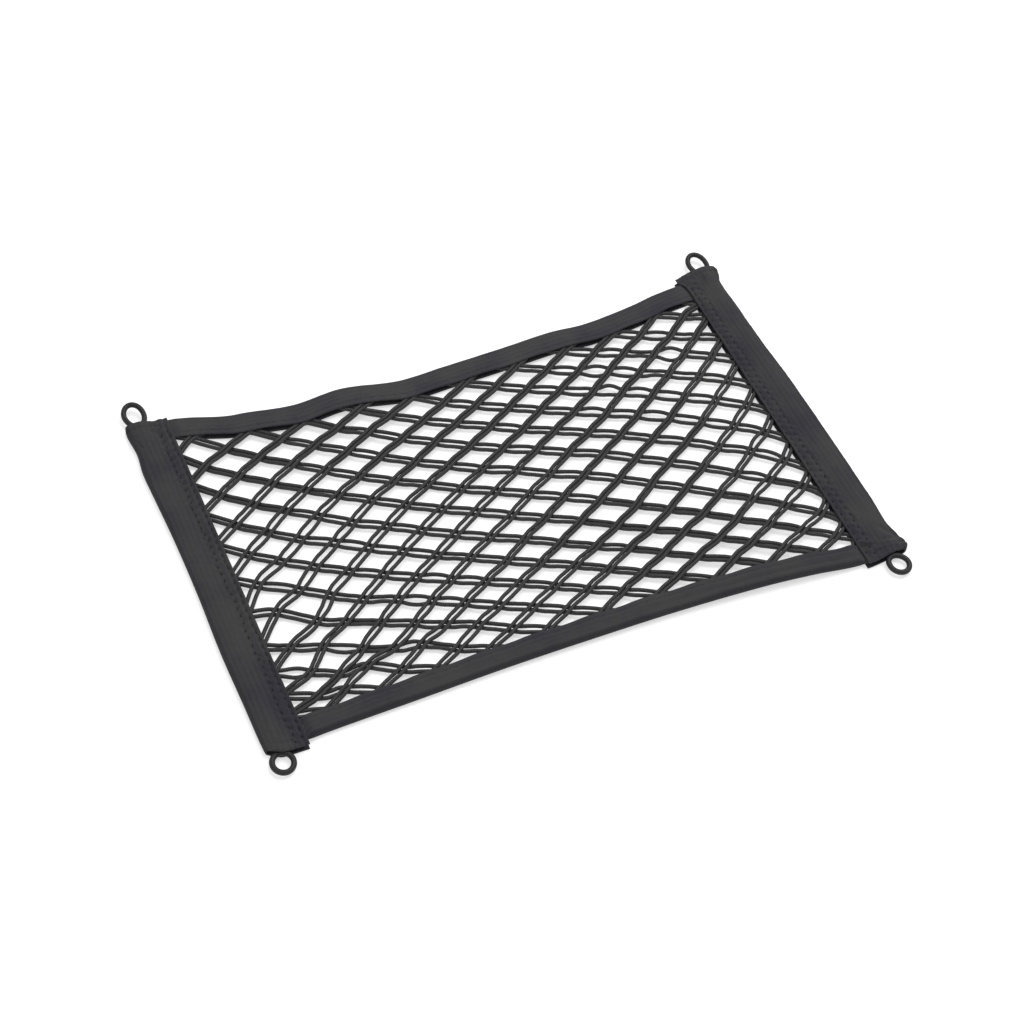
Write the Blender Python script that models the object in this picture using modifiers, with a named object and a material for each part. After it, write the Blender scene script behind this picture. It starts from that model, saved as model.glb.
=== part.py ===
"""An elastic cargo net, lying loose on a flat surface.

X runs along the net, from the left rod to the right rod; Y runs from the front tape to the
back tape; Z is up. The origin is on the surface, under the middle of the whole net.
Sizes are in millimetres and become metres as the points are made.
"""

import math
from collections import namedtuple

import bmesh
import bpy
from mathutils import Vector

MM = 0.001

# Cloth and clearances
SLEEVE_CLOTH = 1.2          # webbing of the two sleeves
TAPE_CLOTH = 1.0            # binding on the two long edges
GAP = 0.3                   # clear space between pieces
NET_ROOM = 3.0              # clear height between two layers that take the net's edge
SLOT_HEIGHT = SLEEVE_CLOTH + NET_ROOM / 2   # middle of the net's edge above the surface

# Rods, one in each sleeve
ROD_SPACING = 355.0         # between the axes of the rods
ROD_DIAMETER = 3.0
EYE_WIRE = 3.1              # thickness of the round eye at each end
EYE_OUTER = 14.0            # outer width of an eye
EYE_RADIUS = (EYE_OUTER - EYE_WIRE) / 2
ROD_HEIGHT = SLEEVE_CLOTH + GAP + EYE_WIRE / 2
ROD_SIDES = 12
EYE_STEPS = 24
EYE_SIDES = 10

# Sleeves
SLEEVE_WIDTH = 24.0
SLEEVE_INNER = 161.5        # distance of a sleeve's stitched edge from the middle
ROD_INSET = ROD_SPACING / 2 - SLEEVE_INNER  # rod's axis from the stitched edge
SEAM_WIDTH = 8.0            # flat stitched strip beside the channel
CROWN_REACH = 6.5           # how far the ridge over the rod spreads to each side
CROWN_POINTS = (0.55, 0.25, 0.0, -0.25, -0.55, -0.9)    # its points, in shares of that
BULGE_START = 18.0          # the outward bulge grows from here to the outer fold
FOLD_STEPS = 4              # facets round a fold

# Folded tapes
BACK_TAPE_WIDTH = 13.5
FRONT_TAPE_WIDTH = 12.8
TAPE_END = 168.0            # a tape's end, inside the sleeve
PRESS_START = 157.0         # a tape is full height up to here
PRESS_END = 161.0           # and pressed flat from here on
PRESSED_ROOM = 0.3          # between the layers of the pressed end
MID_LAYER = 0.6             # share of the width where each layer has its middle points
TAPE_STEPS = 28             # sections between the pressed ends

# Net: columns and rows are counted in half cells, from the left and from the back
LAST_COLUMN = 20
LAST_ROW = 20
FIRST_COLUMN_X = -150.0     # column 0, at half height
HALF_CELL_X = 15.9          # between columns
BORDER_X = 167.5            # the net's short edges, inside the sleeves
ROW_LEAN = 3.0              # the columns drift this far to each side from back to front
COLUMN_SPREAD = 1.7         # and this far outwards, halfway to each sleeve
BOW_X = 150.0               # where a row has its full slope and bow
EDGE_TUCK = 8.0             # how far the net reaches under a tape
CORNER_BACK_Y = 92.5        # furthest crossings of the short edges, clear of the tapes
CORNER_FRONT_Y = -100.0
KNOT_THICKNESS = 4.0        # two crossing pairs of cord
HIDDEN_THICKNESS = 2.4      # at the sewn edges
CORD_THICKNESS = 2.2        # along a strand's sides
GROOVE_THICKNESS = 1.7      # between the two cords of a strand
SHARP_CORNER = 0.61         # gap size over cell size at the sharp corners
BLUNT_CORNER = 0.575        # and at the blunt ones
NET_WAVE = 0.45             # gentle ups and downs of the net between the tapes
WAVE_LENGTH = 118.0
WAVE_SLANT = 0.6
NET_SETTLE = 0.7            # share of the tapes' lift that the middle of the net loses
CALM_WIDTH = 30.0           # the waves die down over this width beside a sleeve

EyeRow = namedtuple("EyeRow", "name end direction stretch tilt")
SleeveRow = namedtuple("SleeveRow", "y spread rise flare")
SleeveEnds = namedtuple("SleeveEnds", "front_outer front_inner back_outer back_inner")
TapeRow = namedtuple("TapeRow", "x edge lift")
NetRow = namedtuple("NetRow", "row middle slope bow")
Gather = namedtuple("Gather", "x y angle reach width pull")

# A row for each eye of a rod: the rod's end, the way the eye points, how much longer than round
# it is, and the degrees that its free side stands up.
EYE_ROWS = (
    EyeRow("front", -118.7, -1, 1.0, 0.0),
    EyeRow("back", 116.6, 1, 2.5, 8.0),
)

# A row for each section: place along the sleeve, how far its fold bulges outwards, how much
# its upper layer is puffed up, and how far its stitched edge juts inwards.
LEFT_SLEEVE_ROWS = (
    SleeveRow(-116.0, -1.6, 0.5, 0.0),
    SleeveRow(-108.0, -1.2, 0.6, 0.0),
    SleeveRow(-85.0, -1.0, 0.0, 0.0),
    SleeveRow(-50.0, -0.5, 0.0, 0.0),
    SleeveRow(-10.0, -1.4, 0.2, 0.0),
    SleeveRow(30.0, -1.2, 0.0, 0.0),
    SleeveRow(60.0, -0.2, 0.0, 0.0),
    SleeveRow(80.0, 0.4, 0.2, 0.0),
    SleeveRow(95.0, -0.8, 0.0, 0.0),
    SleeveRow(110.0, 0.5, 0.5, 0.0),
    SleeveRow(115.5, -0.6, 0.4, 0.0),
)
RIGHT_SLEEVE_ROWS = (
    SleeveRow(-117.5, 0.8, 0.4, 0.0),
    SleeveRow(-113.5, 3.2, 0.7, 0.0),
    SleeveRow(-107.0, 1.4, 0.4, 0.0),
    SleeveRow(-98.0, 0.1, 0.1, 0.0),
    SleeveRow(-80.0, 0.9, 0.0, 0.0),
    SleeveRow(-20.0, 1.2, 0.0, 0.0),
    SleeveRow(20.0, 0.6, 0.2, 0.0),
    SleeveRow(50.0, -0.9, 0.0, 0.0),
    SleeveRow(80.0, -1.3, 0.0, 0.0),
    SleeveRow(104.0, -1.8, 0.2, 0.0),
    SleeveRow(111.5, 1.0, 0.6, 0.4),
    SleeveRow(117.3, 0.0, 0.4, 3.0),
)
LEFT_SLEEVE_ENDS = SleeveEnds(-116.0, -120.0, 115.5, 113.8)
RIGHT_SLEEVE_ENDS = SleeveEnds(-117.5, -119.8, 117.3, 112.5)

# A row for each bend: place along the tape, its folded edge, and its lift off the surface.
BACK_TAPE_ROWS = (
    TapeRow(-168.0, 112.4, 0.0),
    TapeRow(-150.0, 107.6, 0.2),
    TapeRow(-131.0, 102.0, 0.8),
    TapeRow(-119.0, 101.2, 1.0),
    TapeRow(-92.0, 97.0, 1.4),
    TapeRow(-63.0, 99.2, 2.0),
    TapeRow(-30.0, 93.9, 1.2),
    TapeRow(0.0, 95.4, 0.8),
    TapeRow(35.0, 96.8, 1.2),
    TapeRow(68.0, 98.5, 1.6),
    TapeRow(90.0, 97.6, 1.4),
    TapeRow(120.0, 101.5, 1.0),
    TapeRow(141.0, 106.4, 0.4),
    TapeRow(157.0, 109.0, 0.0),
    TapeRow(168.0, 110.3, 0.0),
)
FRONT_TAPE_ROWS = (
    TapeRow(-168.0, -116.5, 0.0),
    TapeRow(-150.0, -115.2, 0.2),
    TapeRow(-100.0, -113.4, 0.5),
    TapeRow(-50.0, -111.6, 0.9),
    TapeRow(0.0, -110.9, 1.2),
    TapeRow(50.0, -111.0, 1.6),
    TapeRow(100.0, -113.2, 2.6),
    TapeRow(130.0, -115.6, 2.4),
    TapeRow(152.0, -117.4, 0.6),
    TapeRow(168.0, -118.0, 0.0),
)

# A row for each of five lines across the net: its count from the back, its place at the
# middle of the net, its rise from there to the right, and how far both ends swing back.
NET_ROWS = (
    NetRow(0, 81.2, 0.0, 13.6),
    NetRow(5, 37.5, 5.0, 8.4),
    NetRow(10, -7.8, 6.8, -0.5),
    NetRow(15, -54.1, 5.0, -7.6),
    NetRow(20, -96.4, 0.0, -7.4),
)

# A row for each place where strands bunch up along a line.
GATHERS = (
    Gather(-122.0, -75.0, 23.0, 52.0, 10.0, 0.6),
    Gather(146.0, 78.0, 42.0, 26.0, 8.0, 0.45),
)


def clear_scene():
    """Remove what the scene holds."""
    for thing in list(bpy.data.objects):
        bpy.data.objects.remove(thing, do_unlink=True)


def make_collection(name):
    """A collection of that name, linked to the scene."""
    collection = bpy.data.collections.new(name)
    bpy.context.scene.collection.children.link(collection)
    return collection


def make_material(name, colour, roughness, metallic=0.0):
    """A plain Principled material."""
    material = bpy.data.materials.new(name)
    material.use_nodes = True
    shader = material.node_tree.nodes["Principled BSDF"]
    shader.inputs["Base Color"].default_value = (*colour, 1.0)
    shader.inputs["Roughness"].default_value = roughness
    shader.inputs["Metallic"].default_value = metallic
    return material


def add_object(name, mesh, material, collection, parent):
    """An object for one sub-part, hung under the net's own empty."""
    mesh.materials.clear()
    mesh.materials.append(material)
    thing = bpy.data.objects.new(name, mesh)
    collection.objects.link(thing)
    thing.parent = parent
    return thing


def smooth_step(value, low, high):
    """0 at low and below, 1 at high and above, with a soft rise between."""
    share = min(max((value - low) / (high - low), 0.0), 1.0)
    return share * share * (3.0 - 2.0 * share)


def follow(rows, key, column, place):
    """A column's value at a place between the rows, on a smooth curve through them.

    The curve is a cubic between each two rows, whose slope at a row is that of the line
    between the row's neighbours.
    """
    places = [getattr(row, key) for row in rows]
    values = [getattr(row, column) for row in rows]
    place = min(max(place, places[0]), places[-1])
    last = len(rows) - 1
    start = next(i for i in range(last) if place <= places[i + 1])

    def slope(i):
        before, after = max(i - 1, 0), min(i + 1, last)
        return (values[after] - values[before]) / (places[after] - places[before])

    span = places[start + 1] - places[start]
    t = (place - places[start]) / span
    return (
        values[start] * (2 * t**3 - 3 * t**2 + 1)
        + slope(start) * span * (t**3 - 2 * t**2 + t)
        + values[start + 1] * (3 * t**2 - 2 * t**3)
        + slope(start + 1) * span * (t**3 - t**2)
    )


def sheet_mesh(name, sections):
    """An open surface through sections of equally many points, in millimetres."""
    rows, columns = len(sections), len(sections[0])
    mesh = bpy.data.meshes.new(name)
    sheet = bmesh.new()
    bmesh.ops.create_grid(sheet, x_segments=rows - 1, y_segments=columns - 1, size=1.0)
    for vert in sheet.verts:
        row = round((vert.co.x + 1) / 2 * (rows - 1))
        column = round((vert.co.y + 1) / 2 * (columns - 1))
        vert.co = Vector(sections[row][column]) * MM
    bmesh.ops.recalc_face_normals(sheet, faces=sheet.faces)
    sheet.to_mesh(mesh)
    sheet.free()
    return mesh


def thicken(thing, thickness, group=""):
    """Give a sheet its cloth thickness, half to each side of the surface."""
    solid = thing.modifiers.new("cloth", "SOLIDIFY")
    solid.thickness = thickness * MM
    solid.offset = 0.0
    solid.use_even_offset = not group
    solid.vertex_group = group


def fold_arc(centre_in, centre_up, radius):
    """Points of a half-round fold, from its lower end outwards and up to its upper end."""
    angles = [math.radians(-90 + 180 * step / FOLD_STEPS) for step in range(FOLD_STEPS + 1)]
    return [(centre_in + radius * math.cos(a), centre_up + radius * math.sin(a)) for a in angles]


# --- Rods -----------------------------------------------------------------------------------


def make_eye(name, x, row, guides, parent):
    """A nearly round eye at a rod's end, as a guide that the rod is joined with."""
    angle = math.radians(row.tilt)
    reach = EYE_RADIUS + row.stretch
    y = row.end + row.direction * reach * math.cos(angle)
    z = ROD_HEIGHT + reach * math.sin(angle)
    bpy.ops.mesh.primitive_torus_add(
        major_radius=EYE_RADIUS * MM,
        minor_radius=EYE_WIRE / 2 * MM,
        major_segments=EYE_STEPS,
        minor_segments=EYE_SIDES,
        location=(x * MM, y * MM, z * MM),
        rotation=(row.direction * angle, 0.0, 0.0),
    )
    eye = bpy.context.active_object
    eye.name = name
    for vert in eye.data.vertices:
        if vert.co.y * row.direction < -EYE_WIRE / 4 * MM:
            vert.co.y -= row.direction * row.stretch * MM
    for holder in list(eye.users_collection):
        holder.objects.unlink(eye)
    guides.objects.link(eye)
    eye.parent = parent
    eye.hide_render = True
    eye.display_type = "WIRE"
    return eye


def make_rod(name, x, material, collection, guides, parent):
    """A straight wire rod with a round eye joined to each end."""
    front_end, back_end = (row.end for row in EYE_ROWS)
    rod_mesh = bpy.data.meshes.new(name)
    shape = bmesh.new()
    bmesh.ops.create_cone(
        shape,
        cap_ends=True,
        segments=ROD_SIDES,
        radius1=ROD_DIAMETER / 2 * MM,
        radius2=ROD_DIAMETER / 2 * MM,
        depth=(back_end - front_end) * MM,
    )
    shape.to_mesh(rod_mesh)
    shape.free()
    rod = add_object(name, rod_mesh, material, collection, parent)
    rod.location = (x * MM, (back_end + front_end) / 2 * MM, ROD_HEIGHT * MM)
    rod.rotation_euler = (math.radians(90), 0.0, 0.0)
    for row in EYE_ROWS:
        eye = make_eye(f"{name}_{row.name}_eye", x, row, guides, parent)
        join = rod.modifiers.new(f"{row.name}_eye", "BOOLEAN")
        join.operation = "UNION"
        join.solver = "EXACT"
        join.object = eye
    return rod


# --- Sleeves --------------------------------------------------------------------------------


def sleeve_profile():
    """A sleeve's section: distance from the stitched edge, height, and share of the puff.

    It runs along the lower layer, round the outer fold, over the rod and back along the
    upper layer, on the middle of the cloth.
    """
    low = SLEEVE_CLOTH / 2
    flat_top = SLEEVE_CLOTH + NET_ROOM + SLEEVE_CLOTH / 2
    crown = ROD_HEIGHT + EYE_WIRE / 2 + GAP + SLEEVE_CLOTH / 2
    radius = (flat_top - low) / 2
    fold_centre = SLEEVE_WIDTH - SLEEVE_CLOTH / 2 - radius
    points = [(inset, low, 0.0) for inset in (0.0, SEAM_WIDTH, ROD_INSET)]
    points += [(inset, up, 0.0) for inset, up in fold_arc(fold_centre, SLOT_HEIGHT, radius)]
    for offset in CROWN_POINTS:
        hump = math.cos(math.pi / 2 * offset) ** 2
        inset = ROD_INSET + offset * CROWN_REACH
        points.append((inset, flat_top + (crown - flat_top) * hump, hump))
    points += [(inset, flat_top, 0.0) for inset in (SEAM_WIDTH, SEAM_WIDTH / 2, 0.0)]
    return points


def sleeve_section(side, row, ends):
    """The points of one section of a sleeve, on the side -1 (left) or 1 (right)."""
    outer, inner = (
        (ends.front_outer, ends.front_inner) if row.y < 0 else (ends.back_outer, ends.back_inner)
    )
    points = []
    for inset, up, puff in sleeve_profile():
        bulge = row.spread * smooth_step(inset, BULGE_START, SLEEVE_WIDTH)
        jut = row.flare * (1 - smooth_step(inset, 0.0, SEAM_WIDTH))
        end = inner + (outer - inner) * smooth_step(inset, 0.0, SLEEVE_WIDTH)
        x = side * (SLEEVE_INNER + inset + bulge - jut)
        points.append((x, row.y * end / outer, up + row.rise * puff))
    return points


def make_sleeve(name, side, rows, ends, material, collection, parent):
    """A folded sleeve of webbing, with a channel for the rod and a slot for the net."""
    mesh = sheet_mesh(name, [sleeve_section(side, row, ends) for row in rows])
    sleeve = add_object(name, mesh, material, collection, parent)
    thicken(sleeve, SLEEVE_CLOTH)
    return sleeve


# --- Tapes ----------------------------------------------------------------------------------


def tape_places():
    """Where a tape's sections are: its two ends, the pressed stretches, and between them."""
    middle = [PRESS_START * (2 * step / TAPE_STEPS - 1) for step in range(TAPE_STEPS + 1)]
    return [-TAPE_END, -PRESS_END, *middle, PRESS_END, TAPE_END]


def tape_section(x, side, rows, width):
    """The points of one section of a folded tape, on the side -1 (front) or 1 (back)."""
    edge = follow(rows, "x", "edge", x)
    height = SLOT_HEIGHT + follow(rows, "x", "lift", x)
    pressed = smooth_step(abs(x), PRESS_START, PRESS_END)
    room = NET_ROOM + (PRESSED_ROOM - NET_ROOM) * pressed
    spread = (room + TAPE_CLOTH) / 2
    fold = [
        (spread + TAPE_CLOTH / 2 - along, up) for along, up in fold_arc(0.0, 0.0, spread)
    ]
    lower = [(width, -spread), (width * MID_LAYER, -spread)]
    upper = [(width * MID_LAYER, spread), (width, spread)]
    return [(x, edge - side * inset, height + up) for inset, up in lower + fold + upper]


def make_tape(name, side, rows, width, material, collection, parent):
    """A binding folded lengthwise over a long edge of the net."""
    mesh = sheet_mesh(name, [tape_section(x, side, rows, width) for x in tape_places()])
    tape = add_object(name, mesh, material, collection, parent)
    thicken(tape, TAPE_CLOTH)
    return tape


# --- Net ------------------------------------------------------------------------------------


def tape_lip(rows, side, width, x):
    """Where a tape's open edge lies, on the side -1 (front) or 1 (back)."""
    return follow(rows, "x", "edge", x) - side * width


def gathered(x, y):
    """A place in the net after the strands have been drawn together."""
    for gather in GATHERS:
        angle = math.radians(gather.angle)
        along = (x - gather.x) * math.cos(angle) + (y - gather.y) * math.sin(angle)
        across = (y - gather.y) * math.cos(angle) - (x - gather.x) * math.sin(angle)
        strength = gather.pull * math.exp(-((across / gather.width) ** 2))
        strength *= 1.0 - smooth_step(abs(along), gather.reach / 2, gather.reach)
        x += math.sin(angle) * across * strength
        y -= math.cos(angle) * across * strength
    return x, y


def crossing_place(column, row):
    """Where two strands cross, seen from above."""
    border = column < 0 or column == LAST_COLUMN
    x = FIRST_COLUMN_X + HALF_CELL_X * column + ROW_LEAN * (2 * row / LAST_ROW - 1)
    x -= COLUMN_SPREAD * math.sin(2 * math.pi * column / (LAST_COLUMN - 1))
    if border:
        x = math.copysign(BORDER_X, x)
    if row < 0:
        return x, tape_lip(BACK_TAPE_ROWS, 1, BACK_TAPE_WIDTH, x) + EDGE_TUCK
    if row > LAST_ROW:
        return x, tape_lip(FRONT_TAPE_ROWS, -1, FRONT_TAPE_WIDTH, x) - EDGE_TUCK
    y = follow(NET_ROWS, "row", "middle", row)
    y += follow(NET_ROWS, "row", "slope", row) * x / BOW_X
    y += follow(NET_ROWS, "row", "bow", row) * (x / BOW_X) ** 2
    if border:
        return x, min(max(y, CORNER_FRONT_Y), CORNER_BACK_Y)
    return gathered(x, y)


def net_height(x, y):
    """The height of the net's middle: that of the tapes at its edges, with slow waves between."""
    back = tape_lip(BACK_TAPE_ROWS, 1, BACK_TAPE_WIDTH, x)
    front = tape_lip(FRONT_TAPE_ROWS, -1, FRONT_TAPE_WIDTH, x)
    share = min(max((y - front) / (back - front), 0.0), 1.0)
    lift = follow(FRONT_TAPE_ROWS, "x", "lift", x) * (1 - share)
    lift += follow(BACK_TAPE_ROWS, "x", "lift", x) * share
    free = math.sin(math.pi * share) ** 2
    free *= 1 - smooth_step(abs(x), PRESS_START - CALM_WIDTH, PRESS_START)
    wave = NET_WAVE * math.sin(2 * math.pi * (x + WAVE_SLANT * y) / WAVE_LENGTH)
    return SLOT_HEIGHT + lift * (1 - NET_SETTLE * free) + wave * free


def net_cells():
    """The cells of the net, each as its corner crossings in order round the gap.

    A whole cell has a corner at each side, back and front. At the short edges a cell is cut
    down to the triangle that ends on the border.
    """
    cells = []
    for column in range(LAST_COLUMN):
        for row in range(LAST_ROW + 1):
            edge_row = row in (0, LAST_ROW)
            if (column + row) % 2 == 0 or (edge_row and column == LAST_COLUMN - 1):
                continue
            cells.append(
                [(column - 1, row), (column, row - 1), (column + 1, row), (column, row + 1)]
            )
    for row in range(2, LAST_ROW, 2):
        cells.append([(-1, row - 1), (0, row), (-1, row + 1)])
    for row in range(1, LAST_ROW, 2):
        cells.append([(LAST_COLUMN, row + 1), (LAST_COLUMN - 1, row), (LAST_COLUMN, row - 1)])
    return cells


def knot_thickness(column, row):
    """Two pairs of cord lie on each other, except where the net is sewn in."""
    sewn = row <= 0 or row >= LAST_ROW or column < 0 or column == LAST_COLUMN
    return HIDDEN_THICKNESS if sewn else KNOT_THICKNESS


def make_net(name, material, collection, parent):
    """The openwork net: a gap in each cell, raised knots and a groove along each strand."""
    mesh = bpy.data.meshes.new(name)
    net = bmesh.new()
    weight = net.verts.layers.deform.verify()
    knots, middles = {}, {}

    def add_vert(x, y, thickness):
        vert = net.verts.new(Vector((x, y, net_height(x, y))) * MM)
        vert[weight][0] = thickness / KNOT_THICKNESS
        return vert

    def knot(key):
        if key not in knots:
            knots[key] = add_vert(*crossing_place(*key), knot_thickness(*key))
        return knots[key]

    def middle(one, other):
        key = frozenset((one, other))
        if key not in middles:
            ends = [crossing_place(*one), crossing_place(*other)]
            x, y = (sum(values) / 2 for values in zip(*ends))
            middles[key] = add_vert(x, y, GROOVE_THICKNESS)
        return middles[key]

    for corners in net_cells():
        places = [crossing_place(*corner) for corner in corners]
        centre = [sum(values) / len(places) for values in zip(*places)]
        row_middle = sum(row for _, row in corners) / len(corners)
        rim = []
        for (x, y), (_, row) in zip(places, corners):
            share = SHARP_CORNER if row == row_middle else BLUNT_CORNER
            rim.append(
                add_vert(
                    centre[0] + (x - centre[0]) * share,
                    centre[1] + (y - centre[1]) * share,
                    CORD_THICKNESS,
                )
            )
        for i, corner in enumerate(corners):
            after = (i + 1) % len(corners)
            half_way = middle(corner, corners[after])
            net.faces.new((knot(corner), rim[i], half_way))
            net.faces.new((half_way, rim[i], rim[after]))
            net.faces.new((half_way, rim[after], knot(corners[after])))
    bmesh.ops.recalc_face_normals(net, faces=net.faces)
    net.to_mesh(mesh)
    net.free()
    thing = add_object(name, mesh, material, collection, parent)
    group = thing.vertex_groups.new(name="cord_height")
    thicken(thing, KNOT_THICKNESS, group.name)
    return thing


def centre_on_surface(parent, things):
    """Move the empty so that the origin is under the middle of the whole net."""
    bpy.context.view_layer.update()
    graph = bpy.context.evaluated_depsgraph_get()
    corners = []
    for thing in things:
        shown = thing.evaluated_get(graph)
        corners += [shown.matrix_world @ Vector(corner) for corner in shown.bound_box]
    lows = [min(corner[axis] for corner in corners) for axis in range(3)]
    highs = [max(corner[axis] for corner in corners) for axis in range(3)]
    parent.location = (-(lows[0] + highs[0]) / 2, -(lows[1] + highs[1]) / 2, -lows[2])
    bpy.context.view_layer.update()


def main():
    """Build the net, its two tapes, its two sleeves and its two rods."""
    clear_scene()
    parts = make_collection("cargo_net")
    guides = make_collection("guides")
    frame = bpy.data.objects.new("cargo_net_frame", None)
    parts.objects.link(frame)
    webbing = make_material("webbing", (0.055, 0.053, 0.058), 0.85)
    cord = make_material("elastic_cord", (0.028, 0.028, 0.031), 0.6)
    coated_wire = make_material("coated_wire", (0.02, 0.02, 0.021), 0.45)
    half = ROD_SPACING / 2
    things = [
        make_net("net", cord, parts, frame),
        make_tape("back_tape", 1, BACK_TAPE_ROWS, BACK_TAPE_WIDTH, webbing, parts, frame),
        make_tape("front_tape", -1, FRONT_TAPE_ROWS, FRONT_TAPE_WIDTH, webbing, parts, frame),
        make_sleeve(
            "left_sleeve", -1, LEFT_SLEEVE_ROWS, LEFT_SLEEVE_ENDS, webbing, parts, frame
        ),
        make_sleeve(
            "right_sleeve", 1, RIGHT_SLEEVE_ROWS, RIGHT_SLEEVE_ENDS, webbing, parts, frame
        ),
        make_rod("left_rod", -half, coated_wire, parts, guides, frame),
        make_rod("right_rod", half, coated_wire, parts, guides, frame),
    ]
    centre_on_surface(frame, things)


main()
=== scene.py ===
"""The looks of an elastic cargo net that lies loose on a pale floor.

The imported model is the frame. Sizes below are in millimetres on the maker's drawing, whose zero
lies midway between the rods, and become metres in the frame as the points are placed. Only the
stage and the depths of the finishes are in metres from the start.
X runs from the left rod to the right rod, Y from the front tape to the back tape, Z up.
"""

import logging
import math
from abc import ABC, abstractmethod
from dataclasses import dataclass, field
from enum import Enum
from typing import ClassVar, NamedTuple

import bpy
import numpy as np
from mathutils import Matrix, Vector


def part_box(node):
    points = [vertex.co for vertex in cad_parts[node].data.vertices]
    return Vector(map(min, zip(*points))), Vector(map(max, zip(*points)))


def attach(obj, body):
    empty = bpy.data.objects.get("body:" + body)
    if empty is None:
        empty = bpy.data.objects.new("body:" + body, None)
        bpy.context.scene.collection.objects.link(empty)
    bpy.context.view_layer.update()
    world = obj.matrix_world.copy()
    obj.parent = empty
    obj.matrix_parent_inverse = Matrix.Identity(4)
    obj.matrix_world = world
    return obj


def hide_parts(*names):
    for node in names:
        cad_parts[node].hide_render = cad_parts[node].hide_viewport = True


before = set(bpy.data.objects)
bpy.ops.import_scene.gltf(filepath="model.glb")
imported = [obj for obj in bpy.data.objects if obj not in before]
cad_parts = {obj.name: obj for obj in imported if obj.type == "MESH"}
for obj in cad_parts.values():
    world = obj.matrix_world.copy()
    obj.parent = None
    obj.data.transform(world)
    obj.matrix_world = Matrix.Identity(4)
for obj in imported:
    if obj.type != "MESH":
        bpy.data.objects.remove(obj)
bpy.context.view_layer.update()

LOG = logging.getLogger("cargo_net")
MM = 0.001

# Cloth and clearances, as in the solids
SLEEVE_CLOTH = 1.2
TAPE_CLOTH = 1.0
GAP = 0.3
NET_ROOM = 3.0
SLOT_HEIGHT = SLEEVE_CLOTH + NET_ROOM / 2

# Rods
ROD_SPACING = 355.0
ROD_DIAMETER = 3.0
EYE_WIRE = 3.1
EYE_OUTER = 14.0
EYE_RADIUS = (EYE_OUTER - EYE_WIRE) / 2
ROD_HEIGHT = SLEEVE_CLOTH + GAP + EYE_WIRE / 2

# Sleeves
SLEEVE_WIDTH = 24.0
SLEEVE_INNER = 161.5
ROD_INSET = ROD_SPACING / 2 - SLEEVE_INNER
SEAM_WIDTH = 8.0
CROWN_REACH = 6.5
BULGE_START = 18.0

# Tapes
BACK_TAPE_WIDTH = 14.5
FRONT_TAPE_WIDTH = 12.8
TAPE_END = 168.0
PRESS_START = 157.0
PRESS_END = 161.0
PRESSED_ROOM = 0.3

# Rims, creases, grain and threads of the cloths
RIM_SHARE = 0.35
RIM_REACH = 0.35
RIM_STEPS = np.array([0.12])
END_STEPS = np.array([0.12, 0.3])
CREASE_TAIL = 1.5
CREASE_FADE = 2.0
GRAIN = 0.09
THREAD_SIDES = 6

# Net, counted in half cells from the left and from the back
LAST_COLUMN = 20
LAST_ROW = 20
FIRST_COLUMN_X = -150.0
HALF_CELL_X = 15.9
BORDER_X = 164.5
ROW_LEAN = 3.0
COLUMN_SPREAD = 1.7
BOW_X = 150.0
EDGE_TUCK = 8.0
CORNER_BACK_Y = 92.5
CORNER_FRONT_Y = -100.0
NET_WAVE = 0.45
WAVE_LENGTH = 118.0
WAVE_SLANT = 0.6
NET_SETTLE = 0.7
CALM_WIDTH = 30.0
HELD_DEPTH = 1.0
FREE_FROM = 10.0


class Family(Enum):
    """The two directions in which doubled strands cross the net."""

    DOWN = -1       # from the back left to the front right, underneath
    UP = 1          # from the front left to the back right, on top


class SleeveRow(NamedTuple):
    """A section of a sleeve: place, outward bulge, puff and inward jut."""

    y: float
    spread: float
    rise: float
    flare: float


class SleeveEnds(NamedTuple):
    """Where a sleeve ends at its outer fold and at its stitched edge.

    Between the two the end runs aslant from the turn to the full, counted from that edge.
    """

    front_outer: float
    front_inner: float
    front_turn: float
    front_full: float
    back_outer: float
    back_inner: float
    back_turn: float
    back_full: float


class TapeRow(NamedTuple):
    """A bend of a tape: place, folded edge and lift off the surface."""

    x: float
    edge: float
    lift: float


class NetRow(NamedTuple):
    """A line across the net: count from the back, middle, rise to the right and bow."""

    row: float
    middle: float
    slope: float
    bow: float


class Gather(NamedTuple):
    """A place where strands bunch up along a line."""

    x: float
    y: float
    angle: float
    reach: float
    width: float
    pull: float


class Pull(NamedTuple):
    """A place where the net lies dragged aside, to the right and to the back."""

    x: float
    y: float
    reach_x: float
    reach_y: float
    right: float
    back: float


class SlitPatch(NamedTuple):
    """A stretch of net whose doubled strands stand further apart, or less far."""

    x: float
    y: float
    reach_x: float
    reach_y: float
    slit: float


class Strands(NamedTuple):
    """A family's layer, and how far its two cords part and sway: a base each, and patches."""

    layer: int
    slit: float
    slit_patches: tuple
    looseness: float
    loose_patches: tuple


class Crease(NamedTuple):
    """A soft ridge (positive) or trough (negative) between two places of a cloth."""

    across_start: float
    along_start: float
    across_end: float
    along_end: float
    width: float
    height: float


class EyeRow(NamedTuple):
    """An eye of a rod: end of the rod, direction, stretch, tilt in degrees and side shifts."""

    end: float
    direction: int
    stretch: float
    tilt: float
    left_shift: float
    right_shift: float


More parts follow.
